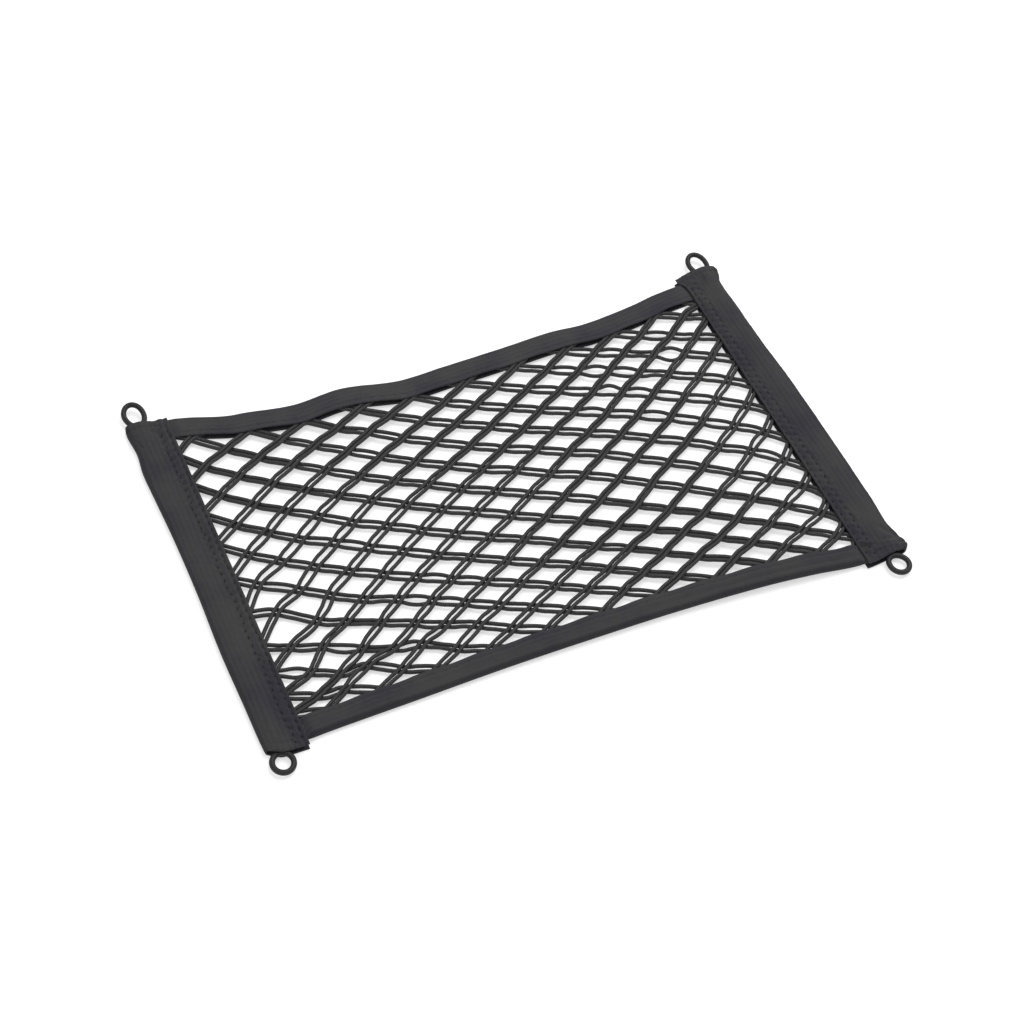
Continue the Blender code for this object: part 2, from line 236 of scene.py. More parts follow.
EYE_ROWS = (
    EyeRow(-118.7, -1, 1.0, 0.0, 0.0, 0.5),
    EyeRow(114.6, 1, 4.5, 6.5, -0.4, -0.4),
)
LEFT_SLEEVE_ROWS = (
    SleeveRow(-116.0, -1.6, 0.5, 0.0),
    SleeveRow(-108.0, -1.2, 0.6, 0.0),
    SleeveRow(-85.0, -1.0, 0.0, 0.0),
    SleeveRow(-50.0, -0.5, 0.0, 0.0),
    SleeveRow(-10.0, -1.4, 0.2, 0.0),
    SleeveRow(30.0, -1.2, 0.0, 0.0),
    SleeveRow(60.0, -0.2, 0.0, 0.0),
    SleeveRow(80.0, 0.4, 0.2, 0.0),
    SleeveRow(95.0, -0.8, 0.0, 0.0),
    SleeveRow(110.0, 0.5, 0.5, 0.0),
    SleeveRow(115.5, -0.6, 0.4, 0.0),
)
RIGHT_SLEEVE_ROWS = (
    SleeveRow(-117.5, 0.8, 0.4, 0.0),
    SleeveRow(-113.5, 3.7, 0.7, 0.0),
    SleeveRow(-107.0, 2.3, 0.4, 0.0),
    SleeveRow(-98.0, 0.2, 0.1, 0.0),
    SleeveRow(-80.0, 0.9, 0.0, 0.0),
    SleeveRow(-20.0, 1.2, 0.0, 0.0),
    SleeveRow(20.0, 0.6, 0.2, 0.0),
    SleeveRow(50.0, -0.9, 0.0, 0.0),
    SleeveRow(80.0, -1.3, 0.0, 0.0),
    SleeveRow(104.0, -1.8, 0.2, 0.0),
    SleeveRow(110.0, 0.4, 0.6, 0.8),
    SleeveRow(114.0, 1.2, 0.6, 3.4),
    SleeveRow(117.3, 0.0, 0.4, 3.8),
)
LEFT_SLEEVE_ENDS = SleeveEnds(-116.0, -120.2, 13.0, 24.0, 115.5, 113.8, 0.0, 24.0)
RIGHT_SLEEVE_ENDS = SleeveEnds(-117.5, -119.8, 0.0, 24.0, 117.3, 113.0, -3.0, 9.0)
BACK_TAPE_ROWS = (
    TapeRow(-168.0, 114.9, 0.0),
    TapeRow(-150.0, 110.4, 0.2),
    TapeRow(-131.0, 103.9, 0.8),
    TapeRow(-119.0, 102.2, 1.0),
    TapeRow(-92.0, 98.0, 1.4),
    TapeRow(-63.0, 99.9, 2.0),
    TapeRow(-30.0, 94.9, 1.2),
    TapeRow(0.0, 96.5, 0.8),
    TapeRow(35.0, 98.0, 1.2),
    TapeRow(68.0, 99.8, 1.6),
    TapeRow(90.0, 99.1, 1.4),
    TapeRow(120.0, 103.0, 1.0),
    TapeRow(141.0, 107.6, 0.4),
    TapeRow(157.0, 109.9, 0.0),
    TapeRow(168.0, 111.0, 0.0),
)
FRONT_TAPE_ROWS = (
    TapeRow(-168.0, -116.5, 0.0),
    TapeRow(-150.0, -115.2, 0.2),
    TapeRow(-100.0, -113.4, 0.5),
    TapeRow(-50.0, -111.6, 0.9),
    TapeRow(0.0, -110.9, 1.2),
    TapeRow(50.0, -111.0, 1.6),
    TapeRow(100.0, -113.2, 2.6),
    TapeRow(130.0, -115.6, 2.4),
    TapeRow(152.0, -117.4, 0.6),
    TapeRow(168.0, -118.0, 0.0),
)
NET_ROWS = (
    NetRow(0, 81.2, 0.0, 13.6),
    NetRow(5, 37.5, 5.0, 8.4),
    NetRow(10, -7.8, 6.8, -0.5),
    NetRow(15, -54.1, 5.0, -7.6),
    NetRow(20, -96.4, 0.0, -7.4),
)
GATHERS = (
    Gather(-118.0, -82.5, 12.0, 46.0, 9.0, 0.8),
    Gather(146.0, 78.0, 42.0, 26.0, 8.0, 0.45),
    Gather(151.0, 89.5, 8.0, 18.0, 7.0, 0.55),
)
PULLS = (
    Pull(112.0, 5.0, 55.0, 55.0, 2.4, -0.3),
    Pull(50.0, -40.0, 35.0, 22.0, 1.3, -1.1),
    Pull(-72.0, 14.0, 34.0, 18.0, -1.4, 0.6),
    Pull(-92.0, -66.0, 40.0, 20.0, 2.4, 0.8),
    Pull(-148.0, -20.0, 20.0, 40.0, 1.3, 0.3),
    Pull(-150.0, 45.0, 18.0, 18.0, 1.6, -1.0),
    Pull(-88.0, 86.0, 36.0, 14.0, 1.3, -0.9),
    Pull(-8.0, -58.0, 30.0, 16.0, 1.4, 0.2),
    Pull(0.0, 45.0, 55.0, 28.0, 0.3, -0.9),
    Pull(68.0, 50.0, 25.0, 22.0, 0.3, -1.0),
    Pull(112.0, -75.0, 45.0, 25.0, 0.6, -1.0),
    Pull(44.0, -77.0, 25.0, 12.0, -0.6, -1.0),
    Pull(60.0, -42.0, 42.0, 16.0, 0.1, -0.8),
    Pull(148.0, -54.0, 16.0, 14.0, 0.9, 0.9),
    Pull(-66.0, 78.0, 26.0, 14.0, 0.7, -0.9),
    Pull(-140.0, 84.0, 22.0, 12.0, 1.2, -0.9),
    Pull(-110.0, 44.0, 30.0, 18.0, -0.7, -0.4),
    Pull(130.0, 58.0, 24.0, 18.0, 1.2, 0.2),
    Pull(-166.0, -40.0, 9.0, 34.0, 0.0, -5.0),
    Pull(-148.0, -11.0, 9.0, 9.0, -3.6, 1.3),
    Pull(-148.0, -36.0, 9.0, 9.0, 0.0, 1.9),
    Pull(-147.0, -58.0, 9.0, 9.0, -1.8, -1.5),
    Pull(-132.0, -65.0, 9.0, 9.0, -2.2, 0.4),
    Pull(-147.0, -79.0, 9.0, 9.0, 2.4, -1.5),
    Pull(-134.0, -24.0, 9.0, 9.0, 1.7, -0.4),
    Pull(-133.0, -45.0, 9.0, 9.0, 2.4, -2.1),
    Pull(0.0, 0.0, 160.0, 110.0, 0.3, -0.1),
    Pull(-130.0, -68.0, 30.0, 16.0, 1.2, -0.6),
    Pull(-95.0, -91.0, 20.0, 9.0, 0.2, -2.3),
    Pull(-148.0, -90.0, 16.0, 9.0, 0.2, -2.9),
    Pull(-66.0, -91.0, 26.0, 14.0, 1.2, -0.5),
    Pull(-90.0, -69.0, 10.0, 8.0, 0.8, 1.1),
    Pull(-65.0, -59.0, 10.0, 8.0, 0.0, 1.1),
    Pull(-136.0, -32.0, 9.0, 9.0, -1.1, 0.5),
    Pull(-75.0, -33.0, 11.0, 9.0, 0.0, -1.2),
    Pull(-145.0, 24.0, 14.0, 22.0, 0.7, -0.8),
    Pull(104.0, 92.0, 22.0, 8.0, 1.3, 0.1),
    Pull(140.0, 52.0, 12.0, 10.0, 1.4, 0.1),
    Pull(70.0, 53.0, 13.0, 9.0, 0.9, 0.3),
)
CLOSED_SLIT = 0.0
OPEN_SLIT = 1.5
WIDEST_SLIT = 3.4
DOWN_LOOSENESS = 0.15
UP_LOOSENESS = 0.02
DOWN_SLITS = (
    SlitPatch(-134.0, 54.0, 50.0, 46.0, -1.5),
    SlitPatch(-106.0, 0.0, 16.0, 11.0, 1.0),
    SlitPatch(95.0, -74.0, 82.0, 32.0, -1.5),
    SlitPatch(35.0, -38.0, 30.0, 13.0, -0.8),
    SlitPatch(112.0, 45.0, 52.0, 38.0, 1.9),
    SlitPatch(-120.0, -75.0, 42.0, 30.0, -0.7),
    SlitPatch(-50.0, 84.0, 50.0, 12.0, -0.9),
)
UP_SLITS = (
    SlitPatch(-130.0, 2.0, 38.0, 42.0, 2.6),
    SlitPatch(-74.0, -22.0, 46.0, 34.0, 1.7),
    SlitPatch(-18.0, -4.0, 34.0, 15.0, 0.9),
    SlitPatch(-62.0, -84.0, 44.0, 20.0, 1.1),
    SlitPatch(-14.0, -74.0, 34.0, 14.0, 0.9),
    SlitPatch(146.0, -34.0, 17.0, 50.0, 1.6),
)
LOOSE_DOWN = (
    SlitPatch(112.0, 60.0, 50.0, 36.0, 1.5),
    SlitPatch(-112.0, -66.0, 46.0, 30.0, 1.2),
    SlitPatch(146.0, -30.0, 20.0, 60.0, 0.5),
)
LOOSE_UP = (
    SlitPatch(-112.0, -66.0, 46.0, 30.0, 0.6),
    SlitPatch(-120.0, 10.0, 40.0, 40.0, 0.3),
    SlitPatch(146.0, -30.0, 20.0, 60.0, 0.5),
)
STRANDS = {
    Family.DOWN: Strands(0, OPEN_SLIT, DOWN_SLITS, DOWN_LOOSENESS, LOOSE_DOWN),
    Family.UP: Strands(1, CLOSED_SLIT, UP_SLITS, UP_LOOSENESS, LOOSE_UP),
}
RIGHT_SLEEVE_CREASES = (
    Crease(1.0, -104.0, 19.0, -112.0, 1.4, 1.0),
    Crease(3.0, -109.0, 21.0, -108.0, 1.1, -1.0),
    Crease(8.0, -112.0, 22.0, -115.0, 1.2, 0.9),
    Crease(17.0, -98.0, 23.0, -109.0, 1.4, -0.8),
    Crease(6.0, 98.0, 13.0, 110.0, 1.5, -0.6),
)
LEFT_SLEEVE_CREASES = (
    Crease(20.0, 96.0, 23.0, 112.0, 1.2, -0.8),
    Crease(6.0, 100.0, 12.0, 108.0, 1.6, -0.5),
    Crease(16.0, -100.0, 22.0, -112.0, 1.4, -0.5),
)


# --- Helpers for shapes -----------------------------------------------------------------------


def smooth_step(value: np.ndarray, low: float, high: float) -> np.ndarray:
    """A soft rise: 3t² - 2t³ of the share t of the way from low to high."""
    share = np.clip((np.asarray(value, float) - low) / (high - low), 0.0, 1.0)
    return share * share * (3.0 - 2.0 * share)


def follow(places: np.ndarray, values: np.ndarray, at: np.ndarray) -> np.ndarray:
    """A smooth curve through values at rising places.

    Between two places it is the cubic that has both values and, at each, the slope of the
    line between that place's neighbours.

    Args:
        places: where the values stand, rising.
        values: the values to pass through.
        at: where the curve is read, held between the first place and the last.

    Returns:
        The curve's values, in the form of at.
    """
    places = np.asarray(places, float)
    values = np.asarray(values, float)
    at = np.clip(np.asarray(at, float), places[0], places[-1])
    slopes = np.gradient(values)
    slopes[1:-1] = (values[2:] - values[:-2]) / (places[2:] - places[:-2])
    slopes[0] = (values[1] - values[0]) / (places[1] - places[0])
    slopes[-1] = (values[-1] - values[-2]) / (places[-1] - places[-2])
    start = np.clip(np.searchsorted(places, at) - 1, 0, len(places) - 2)
    span = places[start + 1] - places[start]
    t = (at - places[start]) / span
    return (
        values[start] * (2 * t**3 - 3 * t**2 + 1)
        + slopes[start] * span * (t**3 - 2 * t**2 + t)
        + values[start + 1] * (3 * t**2 - 2 * t**3)
        + slopes[start + 1] * span * (t**3 - t**2)
    )


def column(rows: tuple, name: str, at: np.ndarray) -> np.ndarray:
    """A table's column read on the smooth curve through its rows, which start with their place."""
    return follow([row[0] for row in rows], [getattr(row, name) for row in rows], at)


def bell(*offs: np.ndarray) -> np.ndarray:
    """A soft bump: e to the minus sum of the squares of distances, each over its own reach."""
    return np.exp(-sum(off**2 for off in offs))


def patch_share(patch: "Pull | SlitPatch", x: np.ndarray, y: np.ndarray) -> np.ndarray:
    """A patch's share of a place: 1 at its middle, falling off over its two reaches."""
    return bell((x - patch.x) / patch.reach_x, (y - patch.y) / patch.reach_y)


def ripple(x: np.ndarray, y: np.ndarray, length: float, phase: float) -> np.ndarray:
    """Uneven ups and downs from -1 to 1: three sines of unlike slant and length, averaged.

    Args:
        x: the places one way.
        y: the places the other way.
        length: the length of the middle one of the three waves.
        phase: how far the waves have run at zero.

    Returns:
        The height at each place.
    """
    turn = 2 * math.pi / length
    waves = np.sin(turn * (x + 0.31 * y) + phase)
    waves = waves + np.sin(turn * 1.37 * (y - 0.42 * x) + 2.1 * phase)
    waves = waves + np.sin(turn * 0.63 * (x + 0.87 * y) + 3.7 * phase)
    return waves / 3


def crease_relief(across: np.ndarray, along: np.ndarray, creases: tuple) -> np.ndarray:
    """The relief of a cloth's creases.

    Each is its height times e to the minus square of the distance from its line over its
    width, and it fades out beyond both ends of the line.

    Args:
        across: the places across the cloth.
        along: the places along it.
        creases: the creases.

    Returns:
        How far the outer face stands proud at each place.
    """
    relief = np.zeros(np.broadcast(across, along).shape)
    for crease in creases:
        run = np.array([crease.across_end - crease.across_start, crease.along_end - crease.along_start])
        length = float(np.linalg.norm(run))
        run = run / length
        off_across, off_along = across - crease.across_start, along - crease.along_start
        reach = off_across * run[0] + off_along * run[1]
        side = off_along * run[0] - off_across * run[1]
        far_end = smooth_step(reach, length - CREASE_FADE, length + CREASE_TAIL)
        window = smooth_step(reach, -CREASE_TAIL, CREASE_FADE) * (1 - far_end)
        relief = relief + crease.height * bell(side / crease.width) * window
    return relief


def from_ends(places: np.ndarray) -> np.ndarray:
    """How far each of a row of places lies from the nearer end."""
    return np.minimum(places - places[0], places[-1] - places)


def with_ends(places: np.ndarray, near: np.ndarray) -> np.ndarray:
    """A row of places with more of them at these distances from each end, for a round rim."""
    return np.concatenate(
        [places[:1], places[0] + near, places[1:-1], places[-1] - near[::-1], places[-1:]]
    )


def tapered(cloth: float, *rims: np.ndarray) -> np.ndarray:
    """A cloth's thickness, which close to each rim falls with the root of the distance to it.

    Args:
        cloth: the thickness away from the rims.
        rims: the distances to each pair of rims.

    Returns:
        The thickness at each place.
    """
    thickness = cloth
    for rim in rims:
        near = np.sqrt(np.clip(rim / RIM_REACH, 0, 1))
        thickness = thickness * (RIM_SHARE + (1 - RIM_SHARE) * near)
    return thickness


def unit(vectors: np.ndarray) -> np.ndarray:
    """The same vectors, each divided by its length."""
    return vectors / np.maximum(np.linalg.norm(vectors, axis=-1, keepdims=True), 1e-12)


def read_grid(grid: np.ndarray, rows: np.ndarray, columns: np.ndarray) -> np.ndarray:
    """Points of a surface between its grid's points, each a mean of the four around it.

    Args:
        grid: the surface's points.
        rows: where the points are read, counted in the grid's rows.
        columns: the same, in its columns.

    Returns:
        The points, in the form of rows.
    """
    rows = np.clip(rows, 0, grid.shape[0] - 1.001)
    columns = np.clip(columns, 0, grid.shape[1] - 1.001)
    low_row, low_column = rows.astype(int), columns.astype(int)
    s = (rows - low_row)[..., None]
    t = (columns - low_column)[..., None]
    near = grid[low_row, low_column] * (1 - t) + grid[low_row, low_column + 1] * t
    far = grid[low_row + 1, low_column] * (1 - t) + grid[low_row + 1, low_column + 1] * t
    return near * (1 - s) + far * s


@dataclass(frozen=True)
class Drawing:
    """Where the drawing's zero lies in the frame, in metres."""

    x: float
    y: float

    @classmethod
    def from_frame(cls) -> "Drawing":
        """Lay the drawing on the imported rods.

        Returns:
            The drawing, with its zero midway between them and set by their front eyes.
        """
        left_low, left_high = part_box("left_rod")
        right_low, right_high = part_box("right_rod")
        front = EYE_ROWS[0]
        reach = -front.end + front.stretch + EYE_RADIUS + EYE_OUTER / 2
        middle = (left_low.x + left_high.x + right_low.x + right_high.x) / 4
        return cls(middle, left_low.y + reach * MM)

    def place(self, points: np.ndarray) -> np.ndarray:
        """Points of the drawing, in millimetres, as points of the frame, in metres."""
        return np.asarray(points, float) * MM + np.array([self.x, self.y, 0.0])


@dataclass
class Shape:
    """A mesh in the making: points in millimetres, faces, and a cloth map for each corner."""

    points: list = field(default_factory=list)
    faces: list = field(default_factory=list)
    maps: list = field(default_factory=list)
    count: int = 0

    def add_points(self, points: np.ndarray) -> int:
        """Add points.

        Args:
            points: the points, in an array of any form.

        Returns:
            The number of the first.
        """
        start = self.count
        flat = points.reshape(-1, 3)
        self.points.append(flat)
        self.count += len(flat)
        return start

    def add_faces(self, corners: np.ndarray, places: np.ndarray) -> None:
        """Add faces of equally many corners, and the place of each corner on the cloth map."""
        self.faces.extend(corners.tolist())
        self.maps.append(places.reshape(-1, 2))

    def add_rings(
        self, path: np.ndarray, run: np.ndarray, side: np.ndarray, radius: float, sides: int, steps: int
    ) -> np.ndarray:
        """Add the points of a round tube.

        A ring stands square to the path at each of its points: centre + radius × (cos a ×
        side + sin a × up), for as many angles a as there are sides.

        Args:
            path: the points of the centreline.
            run: the direction of the path at each point.
            side: a direction square to it.
            radius: the tube's radius.
            sides: how many sides the tube has.
            steps: how many steps from ring to ring have faces; past the last ring is the first.

        Returns:
            The numbers of the four corners of each face, by step and side.
        """
        angles = 2 * np.pi * np.arange(sides) / sides
        cosine, sine = np.cos(angles)[None, :, None], np.sin(angles)[None, :, None]
        rings = path[:, None] + radius * (cosine * side[:, None] + sine * np.cross(side, run)[:, None])
        start = self.add_points(rings)
        step = np.arange(steps)[:, None]
        near, far = start + step * sides, start + (step + 1) % len(path) * sides
        turn = np.arange(sides)[None, :]
        after = (turn + 1) % sides
        return np.stack([near + turn, near + after, far + after, far + turn], axis=-1)

    def add_tube(self, path: np.ndarray, radius: float, sides: int) -> None:
        """Add a closed tube along a path, whose rings start level.

        The map runs in millimetres along the tube and from 0 to 1 round it.

        Args:
            path: the points of the centreline.
            radius: the tube's radius.
            sides: how many sides the tube has.
        """
        run = unit(np.gradient(path, axis=0))
        side = unit(np.cross(run, np.array([0.0, 0.0, 1.0])))
        start = self.count
        corners = self.add_rings(path, run, side, radius, sides, len(path) - 1)
        length = np.concatenate([[0.0], np.cumsum(np.linalg.norm(np.diff(path, axis=0), axis=1))])
        near, far = length[:-1, None], length[1:, None]
        turn = np.arange(sides)[None, :] / sides
        after = turn + 1 / sides
        edges = ((near, turn), (near, after), (far, after), (far, turn))
        places = np.stack([np.stack(np.broadcast_arrays(*edge), axis=-1) for edge in edges], axis=2)
        self.add_faces(corners.reshape(-1, 4)[:, ::-1], places.reshape(-1, 4, 2)[:, ::-1])
        last = start + (len(path) - 1) * sides
        flat = np.zeros((1, sides, 2))
        self.add_faces(start + np.arange(sides)[None, :], flat)
        self.add_faces(last + np.arange(sides)[None, ::-1], flat + [length[-1], 0.0])

    def add_ring(self, path: np.ndarray, radius: float, sides: int, outward: np.ndarray) -> None:
        """Add a tube whose path closes on itself.

        Args:
            path: the points of the centreline, the first not repeated.
            radius: the tube's radius.
            sides: how many sides the tube has.
            outward: the direction away from the ring's middle at each point.
        """
        run = unit(np.roll(path, -1, axis=0) - np.roll(path, 1, axis=0))
        corners = self.add_rings(path, run, outward, radius, sides, len(path))
        self.add_faces(corners.reshape(-1, 4)[:, ::-1], np.zeros((corners.size // 4, 4, 2)))

    def add_cloth(
        self, middle: np.ndarray, thickness: np.ndarray, relief: np.ndarray, places: np.ndarray
    ) -> np.ndarray:
        """Add a sheet of cloth as a closed shell round its middle surface.

        The outer face is middle + normal × (thickness / 2 + relief), the inner one is
        middle - normal × thickness / 2, and strips join their four borders.

        Args:
            middle: the grid of the cloth's middle surface.
            thickness: the cloth's thickness at each of its points.
            relief: how far the outer face stands proud there.
            places: the map of each point, in millimetres across and along.

        Returns:
            The grid of the outer face.
        """
        rows, columns = middle.shape[:2]
        normal = unit(np.cross(np.gradient(middle, axis=0), np.gradient(middle, axis=1)))
        outer = middle + normal * (thickness / 2 + relief)[..., None]
        inner = middle - normal * (thickness / 2)[..., None]
        top = self.add_points(outer) + np.arange(rows * columns).reshape(rows, columns)
        low = self.add_points(inner) + np.arange(rows * columns).reshape(rows, columns)

        def patch(grid: np.ndarray) -> np.ndarray:
            """The four corners of each cell of a grid."""
            cells = [grid[:-1, :-1], grid[1:, :-1], grid[1:, 1:], grid[:-1, 1:]]
            return np.stack(cells, axis=2).reshape(-1, 4, *grid.shape[2:])

        def border(grid: np.ndarray) -> np.ndarray:
            """The pairs of neighbours once round a grid's border, the later one first."""
            line = np.concatenate([grid[:-1, 0], grid[-1, :-1], grid[:0:-1, -1], grid[0, :0:-1]])
            return np.stack([np.roll(line, -1, axis=0), line], axis=1)

        self.add_faces(patch(top), patch(places))
        self.add_faces(patch(low)[:, ::-1], patch(places)[:, ::-1])
        strip = np.concatenate([border(top), border(low)[:, ::-1]], axis=1)
        ends = border(places)
        self.add_faces(strip, np.concatenate([ends, ends[:, ::-1]], axis=1))
        return outer

    def make(self, name: str, drawing: Drawing) -> bpy.types.Object:
        """Finish the mesh, no lower than the floor.

        Args:
            name: the piece's name.
            drawing: where its points are placed.

        Returns:
            The piece, as an object at the frame's origin.
        """
        mesh = bpy.data.meshes.new(name)
        points = drawing.place(np.concatenate(self.points))
        points[:, 2] = np.maximum(points[:, 2], 0.0)
        mesh.from_pydata(points.tolist(), [], self.faces)
        layer = mesh.uv_layers.new(name="cloth_map")
        layer.data.foreach_set("uv", np.concatenate(self.maps).astype(np.float32).ravel())
        mesh.shade_smooth()
        mesh.validate()
        thing = bpy.data.objects.new(name, mesh)
        bpy.context.scene.collection.objects.link(thing)
        return thing


# --- Finishes ---------------------------------------------------------------------------------


class Value:
    """A number in a material: a socket whose operators add Math nodes."""

    def __init__(self, shader: "Shader", socket: bpy.types.NodeSocket) -> None:
        """Keep the shader and the socket."""
        self.shader = shader
        self.socket = socket

    def __add__(self, other: "Value | float") -> "Value":
        """Sum."""
        return self.shader.math("ADD", self, other)

    __radd__ = __add__

    def __sub__(self, other: "Value | float") -> "Value":
        """Difference."""
        return self.shader.math("SUBTRACT", self, other)

    def __rsub__(self, other: "Value | float") -> "Value":
        """Difference, with the number first."""
        return self.shader.math("SUBTRACT", other, self)

    def __mul__(self, other: "Value | float") -> "Value":
        """Product."""
        return self.shader.math("MULTIPLY", self, other)

    __rmul__ = __mul__

    def sine(self) -> "Value":
        """Sine of the value as an angle."""
        return self.shader.math("SINE", self)


class Shader:
    """The nodes of one material, with its Principled shader."""

    def __init__(self, name: str, roughness: float, settings: dict) -> None:
        """Start a material whose constant settings stand on the shader's own sockets.

        Args:
            name: the material's name.
            roughness: its roughness where nothing else sets it.
            settings: the values of other sockets by their names.
        """
        self.material = bpy.data.materials.new(name)
        self.material.use_nodes = True
        self.tree = self.material.node_tree
        self.surface = self.tree.nodes["Principled BSDF"]
        self.surface.inputs["Roughness"].default_value = roughness
        for socket, value in settings.items():
            self.surface.inputs[socket].default_value = value

    def node(self, kind: str, settings: dict, inputs: dict) -> bpy.types.Node:
        """Add a node.

        Args:
            kind: the node's type.
            settings: its own settings, such as a Math node's operation, which are set first.
            inputs: a value, or what is linked, for each socket by its name or number.

        Returns:
            The node.
        """
        node = self.tree.nodes.new(kind)
        for name, value in settings.items():
            setattr(node, name, value)
        for key, value in inputs.items():
            socket = value.socket if isinstance(value, Value) else value
            if isinstance(socket, bpy.types.NodeSocket):
                self.tree.links.new(socket, node.inputs[key])
            else:
                node.inputs[key].default_value = socket
        return node

    def math(self, operation: str, *values: "Value | float") -> Value:
        """A Math node on values."""
        node = self.node("ShaderNodeMath", {"operation": operation}, dict(enumerate(values)))
        return Value(self, node.outputs[0])

    def cloth_map(self) -> tuple[Value, Value]:
        """Read the piece's own map.

        Returns:
            Its two numbers: across and along a cloth, or along and round a tube.
        """
        source = self.node("ShaderNodeUVMap", {"uv_map": "cloth_map"}, {})
        parts = self.node("ShaderNodeSeparateXYZ", {}, {0: source.outputs[0]})
        return Value(self, parts.outputs[0]), Value(self, parts.outputs[1])

    def noise(self, per_metre: float, detail: float) -> Value:
        """Cloudy noise in the object's own space.

        Args:
            per_metre: how many clouds fit in a metre.
            detail: how many finer layers it has.

        Returns:
            The noise, from 0 to 1.
        """
        place = self.node("ShaderNodeTexCoord", {}, {}).outputs["Object"]
        inputs = {"Vector": place, "Scale": per_metre, "Detail": detail, "Roughness": 0.6}
        return Value(self, self.node("ShaderNodeTexNoise", {}, inputs).outputs[0])

    def band(self, place: Value, middle: float, reach: float) -> Value:
        """1 at the middle of a band, 0 from its reach on, one minus a square between."""
        off = (place - middle) * (1 / reach)
        return self.math("MAXIMUM", 1 - off * off, 0.0)

    def blend(
        self, share: Value, one: "tuple | bpy.types.NodeSocket", other: tuple
    ) -> bpy.types.NodeSocket:
        """A colour between two.

        Args:
            share: how much of the other colour it has, held between 0 and 1.
            one: the colour at 0.
            other: the colour at 1.

        Returns:
            The socket that carries the colour.
        """
        inputs = {0: share, 6: (*one, 1.0) if isinstance(one, tuple) else one, 7: (*other, 1.0)}
        settings = {"data_type": "RGBA", "clamp_factor": True}
        return self.node("ShaderNodeMix", settings, inputs).outputs[2]

    def colour(self, socket: bpy.types.NodeSocket) -> None:
        """Give the surface its colour."""
        self.tree.links.new(socket, self.surface.inputs["Base Color"])

    def roughness(self, value: Value) -> None:
        """Give the surface its uneven roughness."""
        self.tree.links.new(value.socket, self.surface.inputs["Roughness"])

    def bump(self, height: Value, distance: float) -> None:
        """Raise the surface by a height times a distance.

        Args:
            height: the height, about 0 to 1.
            distance: how far 1 stands out, in metres.
        """
        inputs = {"Height": height, "Distance": distance, "Strength": 1.0}
        node = self.node("ShaderNodeBump", {}, inputs)
        self.tree.links.new(node.outputs[0], self.surface.inputs["Normal"])


@dataclass(frozen=True)
class WovenFinish:
    """Charcoal woven webbing: fine crossing yarns, faint streaks and soft blotches.

    On its outer fold the colour is painted shade, darker towards the fold; beside it the cloth is a
    little lighter and warmer.
    """

    name: str
    fold: float
    # how far the painted shade reaches on each side of the fold
    fold_shade_reach: float
    light: float
    tone: float = 1.0
    cool: tuple[float, float, float] = (0.036, 0.034, 0.045)
    warm: tuple[float, float, float] = (0.058, 0.056, 0.056)
    # the colour of the painted shade along the outer fold
    fold_shade_colour: tuple[float, float, float] = (0.022, 0.021, 0.025)
    weft_pitch: float = 0.75
    warp_pitch: float = 0.9
    weave_depth: float = 0.00010

    def make(self) -> bpy.types.Material:
        """Make the material, whose yarns rise as the product of sines across and along the cloth.

        Returns:
            The material.
        """
        settings = {"Sheen Weight": 0.08, "Sheen Roughness": 0.5, "Specular IOR Level": 0.2}
        shader = Shader(self.name, 0.85, settings)
        across, along = shader.cloth_map()
        turn = 2 * math.pi
        yarns = (across * (turn / self.warp_pitch)).sine() * (along * (turn / self.weft_pitch)).sine()
        cloud = shader.noise(28.0, 3.0)
        fleck = shader.noise(900.0, 2.0)
        streak = (across * (turn / 2.9) + cloud * 5.0).sine()
        shade = cloud * 2.8 - 0.95 + yarns * 0.10 + (fleck - 0.5) * 0.8 + streak * 0.18
        shade = shade + shader.band(across, self.fold + self.light, self.light) * 0.25
        # painted shade: towards the outer fold the colour is blended into a dark colour, standing in
        # for the fold's face in shade
        folded = shader.band(across, self.fold, self.fold_shade_reach) * 0.8
        cool, warm = (tuple(self.tone * part for part in colour) for colour in (self.cool, self.warm))
        shader.colour(shader.blend(folded, shader.blend(shade, cool, warm), self.fold_shade_colour))
        shader.roughness(fleck * 0.2 + 0.75)
        shader.bump(yarns * 0.4 + fleck * 0.35 + 0.4, self.weave_depth)
        return shader.material


@dataclass(frozen=True)
class BraidFinish:
    """Black braided sheath of an elastic cord."""

    name: str
    low: tuple[float, float, float] = (0.029, 0.0285, 0.030)
    high: tuple[float, float, float] = (0.058, 0.057, 0.059)
    pitch: float = 1.5
    carriers: int = 6
    depth: float = 0.00012

    def make(self) -> bpy.types.Material:
        """Make the material: the product of two sines that wind round the cord both ways.

        Returns:
            The material.
        """
        settings = {"Sheen Weight": 0.05, "Sheen Roughness": 0.4, "Specular IOR Level": 0.35}
        shader = Shader(self.name, 0.55, settings)
        along, turn = shader.cloth_map()
        circle = 2 * math.pi
        run = along * (circle / self.pitch)
        wind = turn * (circle * self.carriers)
        braid = (run + wind).sine() * (run - wind).sine()
        fleck = shader.noise(700.0, 2.0)
        shader.colour(shader.blend(braid * 0.35 + fleck * 0.8, self.low, self.high))
        shader.roughness(fleck * 0.2 + 0.42)
        shader.bump(braid * 0.5 + fleck * 0.2 + 0.4, self.depth)
        return shader.material


@dataclass(frozen=True)
class CoatFinish:
    """Black plastic coat of the wire, satin and slightly uneven."""

    name: str
    low: tuple[float, float, float] = (0.019, 0.019, 0.020)
    high: tuple[float, float, float] = (0.027, 0.027, 0.027)

    def make(self) -> bpy.types.Material:
        """Make the material: soft noise in colour, roughness and relief.

        Returns:
            The material.
        """
        shader = Shader(self.name, 0.5, {"Specular IOR Level": 0.35})
        cloud = shader.noise(160.0, 3.0)
        fleck = shader.noise(1500.0, 2.0)
        shader.colour(shader.blend(cloud, self.low, self.high))
        shader.roughness(cloud * 0.2 + 0.42)
        shader.bump(fleck * 0.7 + cloud * 0.3, 0.00004)
        return shader.material


